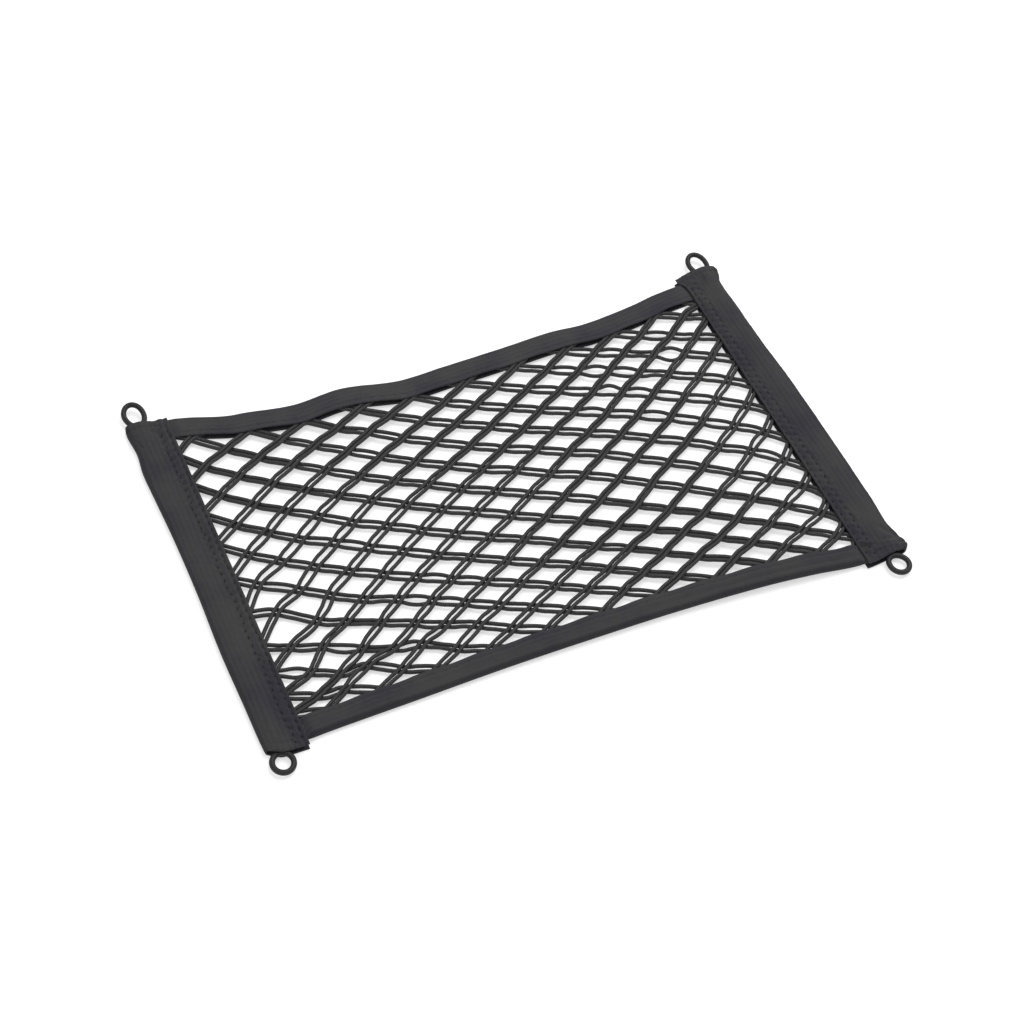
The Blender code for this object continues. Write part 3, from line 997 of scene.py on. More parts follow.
@dataclass(frozen=True)
class ThreadFinish:
    """Dark sewing thread with a fine twist."""

    name: str
    low: tuple[float, float, float] = (0.014, 0.014, 0.015)
    high: tuple[float, float, float] = (0.024, 0.024, 0.026)

    def make(self) -> bpy.types.Material:
        """Make the material: one sine that winds round the thread.

        Returns:
            The material.
        """
        shader = Shader(self.name, 0.6, {"Specular IOR Level": 0.4})
        along, turn = shader.cloth_map()
        twist = (along * 9.0 + turn * (4 * math.pi)).sine()
        shader.colour(shader.blend(twist * 0.5 + 0.5, self.low, self.high))
        shader.bump(twist * 0.5 + 0.5, 0.00004)
        return shader.material


@dataclass(frozen=True)
class FloorFinish:
    """Plain near-white floor."""

    name: str
    glow: float = 0.52

    def make(self) -> bpy.types.Material:
        """Make the material: a matt white with a trace of grain, which glows a little.

        Returns:
            The material.
        """
        settings = {
            "Specular IOR Level": 0.1,
            "Emission Color": (1.0, 1.0, 1.0, 1.0),
            "Emission Strength": self.glow,
        }
        shader = Shader(self.name, 0.9, settings)
        grain = shader.noise(40.0, 2.0)
        shader.colour(shader.blend(grain, (0.86, 0.86, 0.86), (0.88, 0.88, 0.88)))
        return shader.material


# --- Pieces -----------------------------------------------------------------------------------


def dress(piece: bpy.types.Object, material: bpy.types.Material, node: str = "") -> None:
    """Give a piece its finish, and let it ride on the net's one body.

    Args:
        piece: the piece.
        material: its material.
        node: the solid that it stands for, if it does.
    """
    piece.data.materials.append(material)
    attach(piece, "root")
    if node:
        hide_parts(node)


@dataclass
class Net:
    """The openwork panel: two families of doubled elastic cord."""

    drawing: Drawing
    cord: float = 2.3
    steps: int = 12
    sides: int = 8
    corner_round: float = 0.32
    closed_below: float = 0.3
    open_above: float = 1.3
    pinch: float = 0.68
    lie: float = 0.42
    lie_swing: float = 0.07
    held_lie: float = 0.25
    floor_gap: float = 0.1
    wander: float = 0.35
    wander_most: float = 0.8
    slit_range: tuple[float, float] = (0.7, 1.3)
    sway_range: tuple[float, float] = (-1.2, 2.0)
    seed: int = 7

    def __post_init__(self) -> None:
        """Draw the small unevenness of the crossings, once for the whole net."""
        draw = np.random.default_rng(self.seed)
        size = (LAST_COLUMN + 2, LAST_ROW + 3)
        drift = draw.normal(0.0, self.wander, (*size, 2))
        self.drift = drift.clip(-self.wander_most, self.wander_most)
        self.looseness = draw.uniform(*self.slit_range, (2, *size))
        self.sway = draw.normal(0.0, 1.0, (2, 2, *size)).clip(*self.sway_range)

    @staticmethod
    def lips(x: np.ndarray) -> tuple[np.ndarray, np.ndarray]:
        """Where the open edges of the back tape and of the front tape lie."""
        back = column(BACK_TAPE_ROWS, "edge", x) - BACK_TAPE_WIDTH
        return back, column(FRONT_TAPE_ROWS, "edge", x) + FRONT_TAPE_WIDTH

    @staticmethod
    def gathered(x: np.ndarray, y: np.ndarray) -> tuple[np.ndarray, np.ndarray]:
        """Places after the strands have been drawn together towards the gathers' lines.

        A place moves towards a line by its distance from it times the gather's pull, which
        falls off as a bell beside the line and fades out along it.

        Args:
            x: the places from left to right.
            y: the places from front to back.

        Returns:
            Where the places then are.
        """
        for gather in GATHERS:
            angle = math.radians(gather.angle)
            along = (x - gather.x) * math.cos(angle) + (y - gather.y) * math.sin(angle)
            across = (y - gather.y) * math.cos(angle) - (x - gather.x) * math.sin(angle)
            strength = gather.pull * bell(across / gather.width)
            strength = strength * (1 - smooth_step(np.abs(along), gather.reach / 2, gather.reach))
            x = x + math.sin(angle) * across * strength
            y = y - math.cos(angle) * across * strength
        return x, y

    @staticmethod
    def dragged(x: np.ndarray, y: np.ndarray) -> tuple[np.ndarray, np.ndarray]:
        """Places after each pull has moved them, by a share that falls off round its middle.

        Args:
            x: the places from left to right.
            y: the places from front to back.

        Returns:
            Where the places then are.
        """
        right, back = np.zeros(x.shape), np.zeros(x.shape)
        for pull in PULLS:
            share = patch_share(pull, x, y)
            right = right + pull.right * share
            back = back + pull.back * share
        return x + right, y + back

    def crossings(self, columns: np.ndarray, rows: np.ndarray) -> np.ndarray:
        """Where strands cross, seen from above.

        Rows lie on bowed lines, which gathers, pulls and drift make uneven. At the two borders
        the crossings keep their side, and past the first and last row they lie in the tapes.

        Args:
            columns: the crossings' counts from the left.
            rows: their counts from the back.

        Returns:
            Their x and y.
        """
        border = (columns < 0) | (columns == LAST_COLUMN)
        x = FIRST_COLUMN_X + HALF_CELL_X * columns + ROW_LEAN * (2 * rows / LAST_ROW - 1)
        x = x - COLUMN_SPREAD * np.sin(2 * np.pi * columns / (LAST_COLUMN - 1))
        x = np.where(border, np.copysign(BORDER_X, x), x)
        y = column(NET_ROWS, "middle", rows)
        y = y + column(NET_ROWS, "slope", rows) * x / BOW_X
        y = y + column(NET_ROWS, "bow", rows) * (x / BOW_X) ** 2
        loose_x, loose_y = self.dragged(*self.gathered(x, y))
        drift = self.drift[columns + 1, rows + 1]
        edge_y = np.clip(loose_y, CORNER_FRONT_Y, CORNER_BACK_Y)
        x = np.where(border, x, loose_x + drift[..., 0])
        y = np.where(border, edge_y, loose_y + drift[..., 1])
        back, front = self.lips(x)
        y = np.where(rows > LAST_ROW, front - EDGE_TUCK, y)
        y = np.where(rows < 0, back + EDGE_TUCK, y)
        return np.stack([x, y], axis=-1)

    def height(self, x: np.ndarray, y: np.ndarray) -> np.ndarray:
        """The height of the net's middle: that of the tapes at its edges, waves between.

        Args:
            x: the places from left to right.
            y: the places from front to back.

        Returns:
            The height above the floor.
        """
        back, front = self.lips(x)
        share = np.clip((y - front) / (back - front), 0.0, 1.0)
        lift = column(FRONT_TAPE_ROWS, "lift", x) * (1 - share)
        lift = lift + column(BACK_TAPE_ROWS, "lift", x) * share
        free = np.sin(np.pi * share) ** 2
        free = free * (1 - smooth_step(np.abs(x), PRESS_START - CALM_WIDTH, PRESS_START))
        wave = NET_WAVE * np.sin(2 * np.pi * (x + WAVE_SLANT * y) / WAVE_LENGTH)
        return SLOT_HEIGHT + lift * (1 - NET_SETTLE * free) + wave * free

    def freedom(self, x: np.ndarray, y: np.ndarray) -> np.ndarray:
        """How free the net is of the tapes and sleeves that hold its edges.

        Args:
            x: the places from left to right.
            y: the places from front to back.

        Returns:
            0 inside the tapes and sleeves, rising softly to 1 in the free part.
        """
        back, front = self.lips(x)
        room = np.minimum(np.minimum(back - y, y - front), SLEEVE_INNER - np.abs(x))
        return smooth_step(room, -HELD_DEPTH, FREE_FROM)

    @staticmethod
    def patched(base: float, patches: tuple, places: np.ndarray) -> np.ndarray:
        """A base value, and soft patches that add values of their own.

        Args:
            base: the value away from the patches.
            patches: the patches.
            places: x and y of each place.

        Returns:
            The value at each place.
        """
        x, y = places.T
        width = np.full(x.shape, base)
        for patch in patches:
            width = width + patch.slit * patch_share(patch, x, y)
        return width

    def strand(self, family: Family, key: int) -> tuple[np.ndarray, np.ndarray]:
        """The crossings that one strand passes.

        Args:
            family: the way the strand runs.
            key: its number: column less row on the way down, their sum on the way up.

        Returns:
            The crossings' columns and rows, from left to right.
        """
        columns = np.arange(-1, LAST_COLUMN + 1)
        rows = columns - key if family is Family.DOWN else key - columns
        kept = (rows >= -1) & (rows <= LAST_ROW + 1)
        return columns[kept], rows[kept]

    def cords(self, family: Family, key: int) -> list[np.ndarray]:
        """The centrelines of a strand's two cords.

        The strand is a smooth curve through its crossings. A cord lies beside it by half its
        own thickness and half the slit, closer at a crossing, swings out a little where it
        rounds the blunt corner of a gap, and runs over or under the other family.

        Args:
            family: the way the strand runs.
            key: its number.

        Returns:
            The points of each cord, or no cord where the strand passes one crossing only.
        """
        columns, rows = self.strand(family, key)
        if len(columns) < 2:
            return []
        nodes = self.crossings(columns, rows)
        t = np.linspace(0, len(columns) - 1, (len(columns) - 1) * self.steps + 1)
        count = np.arange(len(columns))
        line = np.stack([follow(count, nodes[:, 0], t), follow(count, nodes[:, 1], t)], axis=1)
        run = unit(np.gradient(line, axis=0))
        side = np.stack([-run[:, 1], run[:, 0]], axis=1)
        segment = np.minimum(t.astype(int), len(columns) - 2)
        strands = STRANDS[family]
        cell = (strands.layer, columns[segment] + 1, rows[segment] + 1)
        middle = (nodes[segment] + nodes[segment + 1]) / 2
        slit = self.patched(strands.slit, strands.slit_patches, middle)
        slit = np.clip(slit, CLOSED_SLIT, WIDEST_SLIT) * self.looseness[cell]
        slit = np.interp(t, count[:-1] + 0.5, slit[:: self.steps][: len(count) - 1])
        phase = t - np.round(t)
        swell = np.sin(np.pi * (t - segment)) ** 2
        opening = self.pinch + (1 - self.pinch) * swell
        free = self.freedom(line[:, 0], line[:, 1])
        bow = self.patched(strands.looseness, strands.loose_patches, middle) * swell * free
        lift = self.cord * (self.lie + self.lie_swing * np.cos(2 * np.pi * phase))
        lift = family.value * lift * (self.held_lie + (1 - self.held_lie) * free)
        turn = np.sin(2 * np.pi * phase)
        rounding = turn * np.abs(turn) * self.corner_round * family.value * free
        follower = 1 - smooth_step(slit, self.closed_below, self.open_above)
        paths = []
        for index, hand in enumerate((1, -1)):
            sway = self.sway[(strands.layer, index, *cell[1:])]
            apart = np.maximum(slit / 2 * opening + bow * sway, 0.0)
            turned = np.where(rounding * hand > 0, rounding, rounding * follower)
            place = line + side * (hand * (self.cord / 2 + apart) + turned)[:, None]
            z = self.height(place[:, 0], place[:, 1]) + lift
            z = np.maximum(z, self.cord / 2 + self.floor_gap)
            paths.append(np.column_stack([place, z]))
        return paths

    def make(self) -> bpy.types.Object:
        """Build all cords as one piece.

        Returns:
            The net.
        """
        shape = Shape()
        length = 0.0
        for family in Family:
            keys = range(-LAST_ROW - 2, 2 * LAST_COLUMN + 2, 2)
            for key in keys:
                for path in self.cords(family, key):
                    shape.add_tube(path, self.cord / 2, self.sides)
                    length += float(np.linalg.norm(np.diff(path, axis=0), axis=1).sum())
        piece = shape.make("net_cords", self.drawing)
        dress(piece, BraidFinish("braided_cord").make(), "net")
        LOG.info("net_cords: %.2f m of cord, %d faces", length * MM, len(piece.data.polygons))
        return piece


@dataclass
class Cloth(ABC):
    """A folded strip of webbing with its seam, which follows a table of rows along its length."""

    drawing: Drawing
    name: str
    side: int
    rows: tuple
    flipped_side: ClassVar[int] = 0   # the side on which the grids run the other way, to face out

    @abstractmethod
    def surface(self) -> tuple[np.ndarray, np.ndarray, np.ndarray, np.ndarray]:
        """Work out the cloth as grids.

        Returns:
            The middle surface, its thickness, how far its outer face stands proud, and its map:
            the place of each point across and along.
        """

    @abstractmethod
    def finish(self, fold: float) -> WovenFinish:
        """Choose the cloth's finish.

        Args:
            fold: how far across the cloth its fold lies.

        Returns:
            The finish.
        """

    @abstractmethod
    def seam(self, outer: np.ndarray, places: np.ndarray) -> Shape:
        """Lay the thread on the cloth.

        Args:
            outer: the grid of the outer face.
            places: its map.

        Returns:
            The thread.
        """

    @staticmethod
    def grids(
        cloth: float, at: np.ndarray, along: np.ndarray, spot: tuple, relief: np.ndarray
    ) -> tuple[np.ndarray, np.ndarray, np.ndarray, np.ndarray]:
        """Spread the parts of the surface over whole grids.

        Args:
            cloth: the cloth's thickness away from its rims.
            at: the places across it.
            along: the places along it, one to a row.
            spot: x, y and z of the middle surface.
            relief: how far the outer face stands proud.

        Returns:
            The four grids that surface returns.
        """
        middle = np.stack(np.broadcast_arrays(*spot), axis=-1)
        thickness = tapered(cloth, from_ends(along), from_ends(at))
        places = np.stack(np.broadcast_arrays(at, along), axis=-1)
        return middle, np.broadcast_to(thickness, middle.shape[:2]), relief, places

    @staticmethod
    def on_face(
        outer: np.ndarray, places: np.ndarray, along: np.ndarray, inset: "np.ndarray | float"
    ) -> np.ndarray:
        """Points of the outer face.

        Args:
            outer: the grid of the outer face.
            places: its map.
            along: the places along the cloth.
            inset: how far from its upper edge the points lie.

        Returns:
            The points.
        """
        lines, at = places[:, 0, 1], places[0, :, 0]
        row = np.interp(along, lines, np.arange(len(lines)))
        across = np.interp(np.broadcast_to(at[-1] - inset, along.shape), at, np.arange(len(at)))
        return read_grid(outer, row, across)

    def make(self) -> bpy.types.Object:
        """Build the cloth and its seam.

        Returns:
            The cloth.
        """
        grids = self.surface()
        order = slice(None, None, -1 if self.side == self.flipped_side else 1)
        shape = Shape()
        outer = shape.add_cloth(*(grid[order] for grid in grids))
        cloth = shape.make(f"{self.name}_cloth", self.drawing)
        width = grids[-1][..., 0].max()
        dress(cloth, self.finish(width / 2).make(), self.name)
        thread = self.seam(outer[order], grids[-1]).make(f"{self.name}_seam_thread", self.drawing)
        dress(thread, ThreadFinish(f"{self.name}_thread").make())
        flat = (width * MM, (self.rows[-1][0] - self.rows[0][0]) * MM)
        LOG.info("%s: %.1f by %.1f mm flat", cloth.name, flat[0] / MM, flat[1] / MM)
        return cloth


@dataclass
class Sleeve(Cloth):
    """A folded sleeve of webbing over one end of the net, with its zigzag seam."""

    ends: SleeveEnds
    creases: tuple
    column_step: float = 0.5
    row_step: float = 0.75
    sag: float = 0.22
    sag_length: float = 46.0
    grain_length: float = 7.0
    hem: float = 3.8
    hem_rise: float = 0.3
    hem_groove: float = 0.35
    hem_slope: float = 0.9
    seam_inner: float = 2.2
    seam_outer: float = 6.6
    seam_end: float = 5.0
    stitch: float = 4.8
    stitch_steps: int = 14
    dimple: float = 0.8
    dimple_swing: float = 0.6
    pucker: float = 0.26
    pucker_swing: float = 0.3
    channel: float = 0.4
    thread: float = 0.6
    thread_rise: float = 0.3
    flipped_side: ClassVar[int] = -1

    def profile(self) -> np.ndarray:
        """The section's rows: distance from the stitched edge, height, and share of the puff.

        It runs along the lower layer, round the outer fold, over the rod and back along the
        upper layer, on the middle of the cloth. A smooth curve passes through the points of
        the solid's own section, read at even steps of its length.

        Returns:
            Four rows: the length along the section, and those three there.
        """
        low = SLEEVE_CLOTH / 2
        top = SLEEVE_CLOTH + NET_ROOM + SLEEVE_CLOTH / 2
        crown = ROD_HEIGHT + EYE_WIRE / 2 + GAP + SLEEVE_CLOTH / 2
        radius = (top - low) / 2
        centre = SLEEVE_WIDTH - SLEEVE_CLOTH / 2 - radius
        angles = np.radians(np.linspace(-90, 90, 7))
        reach = np.array([0.55, 0.25, 0.0, -0.25, -0.55, -0.9])
        hump = np.cos(np.pi / 2 * reach) ** 2
        across = [0.0, 4.0, SEAM_WIDTH, ROD_INSET, *(centre + radius * np.cos(angles))]
        across += [*(ROD_INSET + reach * CROWN_REACH), SEAM_WIDTH, SEAM_WIDTH / 2, 0.0]
        up = [low] * 4 + [*(SLOT_HEIGHT + radius * np.sin(angles))]
        up += [*(top + (crown - top) * hump), top, top, top]
        puff = [0.0] * (4 + len(angles)) + [*hump] + [0.0] * 3
        steps = np.hypot(np.diff(across), np.diff(up))
        length = np.concatenate([[0.0], np.cumsum(steps)])
        at = with_ends(np.linspace(0.0, length[-1], int(length[-1] / self.column_step)), RIM_STEPS)
        return np.stack([at] + [follow(length, values, at) for values in (across, up, puff)])

    def surface(self) -> tuple[np.ndarray, np.ndarray, np.ndarray, np.ndarray]:
        """Work out the cloth: the section carried along the sleeve.

        On its way it bulges at the fold, juts in at the stitched edge, puffs over the rod and
        sags a little on top, and it is stretched lengthwise so that the ends run aslant.

        Returns:
            The four grids that Cloth.surface names.
        """
        at, across, up, puff = self.profile()
        first, last = self.rows[0].y, self.rows[-1].y
        along = np.linspace(first, last, int((last - first) / self.row_step))
        along = with_ends(along, END_STEPS)[:, None]
        spread, rise, flare = (column(self.rows, name, along) for name in ("spread", "rise", "flare"))
        ends = self.ends
        outer = np.where(along < 0, ends.front_outer, ends.back_outer)
        inner = np.where(along < 0, ends.front_inner, ends.back_inner)
        front_share = smooth_step(across, ends.front_turn, ends.front_full)
        back_share = smooth_step(across, ends.back_turn, ends.back_full)
        bulge = spread * smooth_step(across, BULGE_START, SLEEVE_WIDTH)
        jut = flare * (1 - smooth_step(across, 0.0, SEAM_WIDTH))
        end = inner + (outer - inner) * np.where(along < 0, front_share, back_share)
        x = self.side * (SLEEVE_INNER + across + bulge - jut)
        y = along * end / outer
        upper = smooth_step(up, 2.0, 4.0)
        sag = self.sag * ripple(across, along, self.sag_length, self.side + 1.7) * upper
        z = up + rise * puff + sag
        relief = self.seam_relief(across, y) * upper
        relief = relief + crease_relief(across, y, self.creases) * upper
        tip = from_ends(along)
        hem = self.hem_rise * (1 - smooth_step(tip, self.hem, self.hem + self.hem_slope))
        hem = hem - self.hem_groove * bell((tip - self.hem - self.hem_slope) / 0.5)
        relief = relief + hem * upper * smooth_step(tip, 0.0, 0.8)
        relief = relief + GRAIN * ripple(across, along, self.grain_length, 2.0) * upper
        return self.grids(SLEEVE_CLOTH, at, along, (x, y, z), relief)

    def seam_relief(self, across: np.ndarray, along: np.ndarray) -> np.ndarray:
        """Dimples where the zigzag seam is pulled in, and puckers between its two rows.

        Args:
            across: the distances from the stitched edge.
            along: the places along the sleeve.

        Returns:
            How far the outer face stands proud.
        """
        relief = np.zeros(np.broadcast(across, along).shape)
        for inset, start in self.seam_rows():
            step = along / self.stitch + start
            off = (step - np.round(step)) * self.stitch
            uneven = ripple(along * 0 + start, along, 13.0, 1.3 * self.side + start)
            depth = self.dimple + self.dimple_swing * uneven
            reach = (across - inset - self.seam_wobble(along, start)) / 1.05
            relief = relief - depth * bell(reach, off / 1.4)
        zone = smooth_step(across, 0.3, 1.6) * (1 - smooth_step(across, SEAM_WIDTH, SEAM_WIDTH + 2.0))
        puckers = self.pucker * np.sin(2 * np.pi * along / self.stitch + across * 0.7)
        puckers = puckers + self.pucker_swing * ripple(across, along, 8.5, 0.6 + self.side)
        channel = self.channel * bell((across - self.seam_inner - 0.3) / 0.8)
        return relief + puckers * zone - channel - self.channel / 2 * bell((across - SEAM_WIDTH) / 0.9)

    def seam_rows(self) -> tuple[tuple[float, float], ...]:
        """The seam's two rows: distance from the stitched edge, and start within a stitch."""
        return (self.seam_inner, 0.0), (self.seam_outer, 0.5)

    def seam_wobble(self, along: np.ndarray, start: float) -> np.ndarray:
        """How far a row of the seam strays from its line."""
        return 0.4 * np.sin(along / 7.0 + 4.0 * start) + 0.3 * np.sin(along / 2.3 + 1.7 * start)

    def seam(self, outer: np.ndarray, places: np.ndarray) -> Shape:
        """Lay two rows of thread, which come up for a short stitch and dip in between.

        Args:
            outer: the grid of the outer face.
            places: its map.

        Returns:
            The thread.
        """
        first = math.ceil((self.rows[0].y + self.seam_end) / self.stitch)
        last = math.floor((self.rows[-1].y - self.seam_end) / self.stitch)
        t = np.linspace(first, last, (last - first) * self.stitch_steps + 1)
        off = np.abs(t - np.round(t)) * self.stitch
        shape = Shape()
        for inset, start in self.seam_rows():
            along = (t - start) * self.stitch
            path = self.on_face(outer, places, along, inset + self.seam_wobble(along, start))
            path[:, 2] += self.thread_rise - smooth_step(off, 0.5, 1.3)
            shape.add_tube(path, self.thread / 2, THREAD_SIDES)
        return shape

    def finish(self, fold: float) -> WovenFinish:
        """The finish of the sleeve, with a broad lighter band beside its fold."""
        return WovenFinish(f"{self.name}_webbing", fold, 3.2, 9.0)


@dataclass
class Tape(Cloth):
    """A binding folded lengthwise over a long edge of the net."""

    width: float
    groove: bool
    tone: float
    column_step: float = 0.6
    row_step: float = 0.9
    scallop: float = 0.35
    scallop_start: float = 3.0
    sag: float = 0.16
    sag_length: float = 38.0
    droop: float = 0.25
    grain_length: float = 9.0
    stitch: float = 6.5
    stitch_steps: int = 10
    seam_inset: float = 3.2
    dimple: float = 0.2
    thread: float = 0.4
    thread_sink: float = 0.06
    thread_dip: float = 0.45
    flipped_side: ClassVar[int] = 1

    def surface(self) -> tuple[np.ndarray, np.ndarray, np.ndarray, np.ndarray]:
        """Work out the cloth: its section carried along the tape.

        The section runs from the lower lip to the fold, round it, and back to the upper lip,
        with a half round fold as high as the room for the net and one cloth's thickness.

        Returns:
            The four grids that Cloth.surface names.
        """
        x = np.linspace(-TAPE_END, TAPE_END, int(2 * TAPE_END / self.row_step))
        x = with_ends(x, END_STEPS)[:, None]
        edge, lift = (column(self.rows, name, x) for name in ("edge", "lift"))
        pressed = smooth_step(np.abs(x), PRESS_START, PRESS_END)
        room = NET_ROOM + (PRESSED_ROOM - NET_ROOM) * pressed
        spread = (room + TAPE_CLOTH) / 2
        wave = np.cos(2 * np.pi * (x - self.scallop_start) / (2 * HALF_CELL_X))
        pull = self.scallop * wave * (1 - pressed)
        flat = self.width - TAPE_CLOTH / 2 - (NET_ROOM + TAPE_CLOTH) / 2
        arc = np.pi * (NET_ROOM + TAPE_CLOTH) / 2
        at = np.linspace(0.0, 2 * flat + arc, int((2 * flat + arc) / self.column_step))
        at = with_ends(at, RIM_STEPS)
        share = np.clip((at - flat) / arc, 0.0, 1.0)
        angle = np.pi * (share - 0.5)
        to_fold = np.where(at < flat, flat - at, np.where(at > flat + arc, at - flat - arc, 0.0))
        stretch = (self.width - TAPE_CLOTH / 2 - spread + pull * (at > flat)) / flat
        inset = TAPE_CLOTH / 2 + spread * (1 - np.cos(angle)) + to_fold * stretch
        inset = np.where(to_fold > 0, TAPE_CLOTH / 2 + spread + to_fold * stretch, inset)
        up = spread * np.sin(angle)
        upper = smooth_step(share, 0.55, 0.95)
        sag = self.sag * ripple(x, inset, self.sag_length, self.side + 2.3) * upper * (1 - pressed)
        droop = -self.droop * smooth_step(to_fold, flat * 0.5, flat) * upper * (1 - pressed)
        z = SLOT_HEIGHT + lift + up + sag + droop
        y = edge - self.side * inset
        from_lip = at[-1] - at
        step = x / self.stitch
        off = (step - np.round(step)) * self.stitch
        relief = -self.dimple * bell((from_lip - self.seam_inset) / 0.7, off / 0.9) * upper
        relief = relief + GRAIN * ripple(x, at, self.grain_length, 1.1) * upper
        if self.groove:
            shown = 0.3 + 0.7 * smooth_step(x, 20.0, 80.0)
            relief = relief - 0.6 * bell((to_fold - 2.6) / 0.75) * upper * shown
            relief = relief + 0.35 * bell((to_fold - 0.9) / 0.8) * upper * shown
        return self.grids(TAPE_CLOTH, at, x, (x, y, z), relief * (1 - pressed))

    def seam(self, outer: np.ndarray, places: np.ndarray) -> Shape:
        """Lay a row of running stitches along the upper lip.

        Args:
            outer: the grid of the outer face.
            places: its map.

        Returns:
            The thread.
        """
        first = math.ceil(-PRESS_START / self.stitch)
        last = math.floor(PRESS_START / self.stitch) - 1
        t = np.linspace(first, last, (last - first) * self.stitch_steps + 1)
        path = self.on_face(outer, places, t * self.stitch, self.seam_inset)
        dip = np.cos(2 * np.pi * t) * 0.5 + 0.5
        path[:, 2] -= self.thread_sink + self.thread_dip * dip
        shape = Shape()
        shape.add_tube(path, self.thread / 2, THREAD_SIDES)
        return shape

    def finish(self, fold: float) -> WovenFinish:
        """The finish of the tape, in its own tone."""
        return WovenFinish(f"{self.name}_webbing", fold, 3.0, 6.0, self.tone)


@dataclass
class Rod:
    """A coated wire rod with a nearly round eye at each end."""

    drawing: Drawing
    name: str
    side: int
    sides: int = 20
    steps: int = 60
    eye_steps: int = 72

    def make(self) -> bpy.types.Object:
        """Build the rod: a straight tube and two eyes, each an ellipse longer along the rod.

        Returns:
            The rod.
        """
        shape = Shape()
        x = self.side * ROD_SPACING / 2
        start, end = (row.end for row in EYE_ROWS)
        straight = np.linspace(start, end, self.steps)
        path = np.stack(np.broadcast_arrays(x, straight, ROD_HEIGHT), axis=1)
        shape.add_tube(path, ROD_DIAMETER / 2, self.sides)
        for row in EYE_ROWS:
            shift = row.right_shift if self.side > 0 else row.left_shift
            tilt = math.radians(row.tilt)
            reach = EYE_RADIUS + row.stretch
            turns = 2 * np.pi * np.arange(self.eye_steps) / self.eye_steps
            out = np.stack([np.cos(turns), np.sin(turns)], axis=1)
            half = EYE_RADIUS + row.stretch / 2
            flat_y = half * out[:, 1] - row.stretch / 2
            normal = unit(out * [half, EYE_RADIUS])
            along = row.direction * (reach + flat_y) * math.cos(tilt)
            up = ROD_HEIGHT + (reach + flat_y) * math.sin(tilt)
            slide = shift * smooth_step(reach + flat_y, 0.0, reach)
            eye = np.stack([x + slide + EYE_RADIUS * out[:, 0], row.end + along, up], axis=1)
            lengthwise = row.direction * normal[:, 1] * math.cos(tilt)
            outward = np.stack([normal[:, 0], lengthwise, normal[:, 1] * math.sin(tilt)], axis=1)
            if row.direction < 0:
                eye, outward = eye[::-1], outward[::-1]
            shape.add_ring(eye, EYE_WIRE / 2, self.sides, outward)
        rod = shape.make(f"{self.name}_wire", self.drawing)
        dress(rod, CoatFinish(f"{self.name}_coat").make(), self.name)
        LOG.info("%s: %d faces", rod.name, len(rod.data.polygons))
        return rod


# --- Stage ------------------------------------------------------------------------------------


@dataclass(frozen=True)
class Lamp:
    """A soft area lamp that looks at the net."""

    name: str
    place: tuple[float, float, float]
    size: float
    power: float

    def make(self) -> None:
        """Build the lamp."""
        data = bpy.data.lights.new(self.name, "AREA")
        data.shape = "DISK"
        data.size = self.size
        data.energy = self.power
        lamp = bpy.data.objects.new(self.name, data)
        lamp.location = self.place
        lamp.rotation_euler = (-Vector(self.place)).to_track_quat("-Z", "Y").to_euler()
        bpy.context.scene.collection.objects.link(lamp)


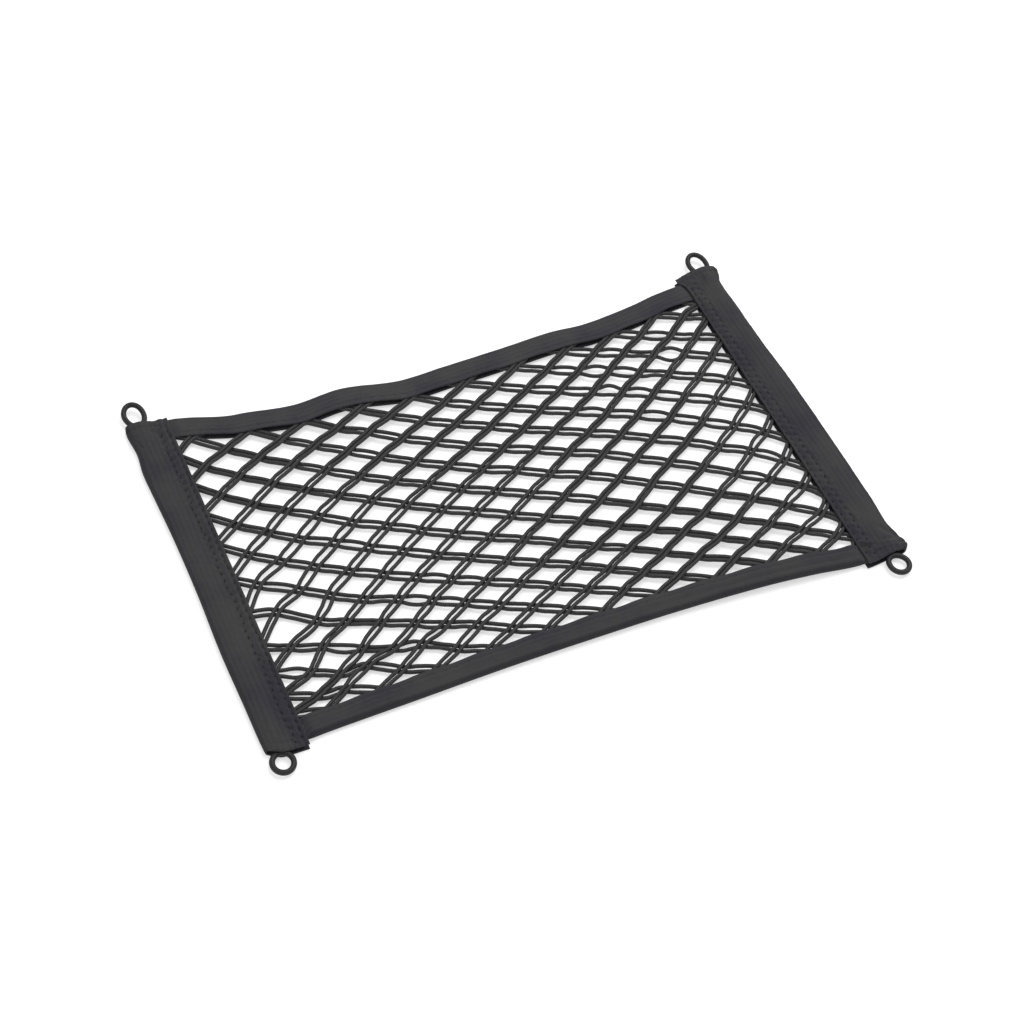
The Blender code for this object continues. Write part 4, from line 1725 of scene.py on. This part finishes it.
@dataclass(frozen=True)
class Studio:
    """Floor, lamps and camera, in metres and degrees."""

    floor_half: float = 14.0
    ambient: float = 0.36
    lens: float = 78.0
    sensor: float = 36.0
    camera_place: tuple[float, float, float] = (-0.364745, -0.701580, 0.938829)
    camera_turn: float = 27.44543
    camera_fall: float = 50.39001
    camera_roll: float = 5.27808

    def make(self) -> None:
        """Build the stage."""
        self.make_floor()
        Lamp("back_softbox", (0.95, 0.6, 2.1), 2.3, 34.0).make()
        Lamp("front_softbox", (-1.3, -0.6, 1.9), 1.6, 6.0).make()
        world = bpy.data.worlds.new("studio")
        world.use_nodes = True
        background = world.node_tree.nodes["Background"]
        background.inputs["Color"].default_value = (1.0, 1.0, 1.0, 1.0)
        background.inputs["Strength"].default_value = self.ambient
        bpy.context.scene.world = world
        bpy.context.scene.view_settings.view_transform = "Standard"
        self.make_camera()

    def make_floor(self) -> None:
        """A square floor at the height of the surface."""
        half = self.floor_half
        mesh = bpy.data.meshes.new("floor")
        corners = [(-half, -half, 0.0), (half, -half, 0.0), (half, half, 0.0), (-half, half, 0.0)]
        mesh.from_pydata(corners, [], [(0, 1, 2, 3)])
        floor = bpy.data.objects.new("floor", mesh)
        bpy.context.scene.collection.objects.link(floor)
        mesh.materials.append(FloorFinish("floor").make())

    def make_camera(self) -> None:
        """The camera: it looks to the back, turned right, then down, and rolled about its view."""
        data = bpy.data.cameras.new("camera")
        data.lens = self.lens
        data.sensor_width = self.sensor
        data.sensor_fit = "HORIZONTAL"
        camera = bpy.data.objects.new("camera", data)
        turn = Matrix.Rotation(math.radians(-self.camera_turn), 4, "Z")
        fall = Matrix.Rotation(math.radians(90.0 - self.camera_fall), 4, "X")
        roll = Matrix.Rotation(math.radians(self.camera_roll), 4, "Z")
        camera.matrix_world = Matrix.Translation(self.camera_place) @ turn @ fall @ roll
        bpy.context.scene.collection.objects.link(camera)
        bpy.context.scene.camera = camera


def main() -> None:
    """Build the stage and the seven pieces with their seams."""
    logging.basicConfig(level=logging.INFO, format="%(name)s %(message)s")
    Studio().make()
    drawing = Drawing.from_frame()
    Tape(drawing, "back_tape", 1, BACK_TAPE_ROWS, BACK_TAPE_WIDTH, groove=False, tone=1.12).make()
    Tape(drawing, "front_tape", -1, FRONT_TAPE_ROWS, FRONT_TAPE_WIDTH, groove=True, tone=1.03).make()
    Net(drawing).make()
    Sleeve(drawing, "left_sleeve", -1, LEFT_SLEEVE_ROWS, LEFT_SLEEVE_ENDS, LEFT_SLEEVE_CREASES).make()
    Sleeve(
        drawing, "right_sleeve", 1, RIGHT_SLEEVE_ROWS, RIGHT_SLEEVE_ENDS, RIGHT_SLEEVE_CREASES
    ).make()
    Rod(drawing, "left_rod", -1).make()
    Rod(drawing, "right_rod", 1).make()


if __name__ == "__main__":
    main()
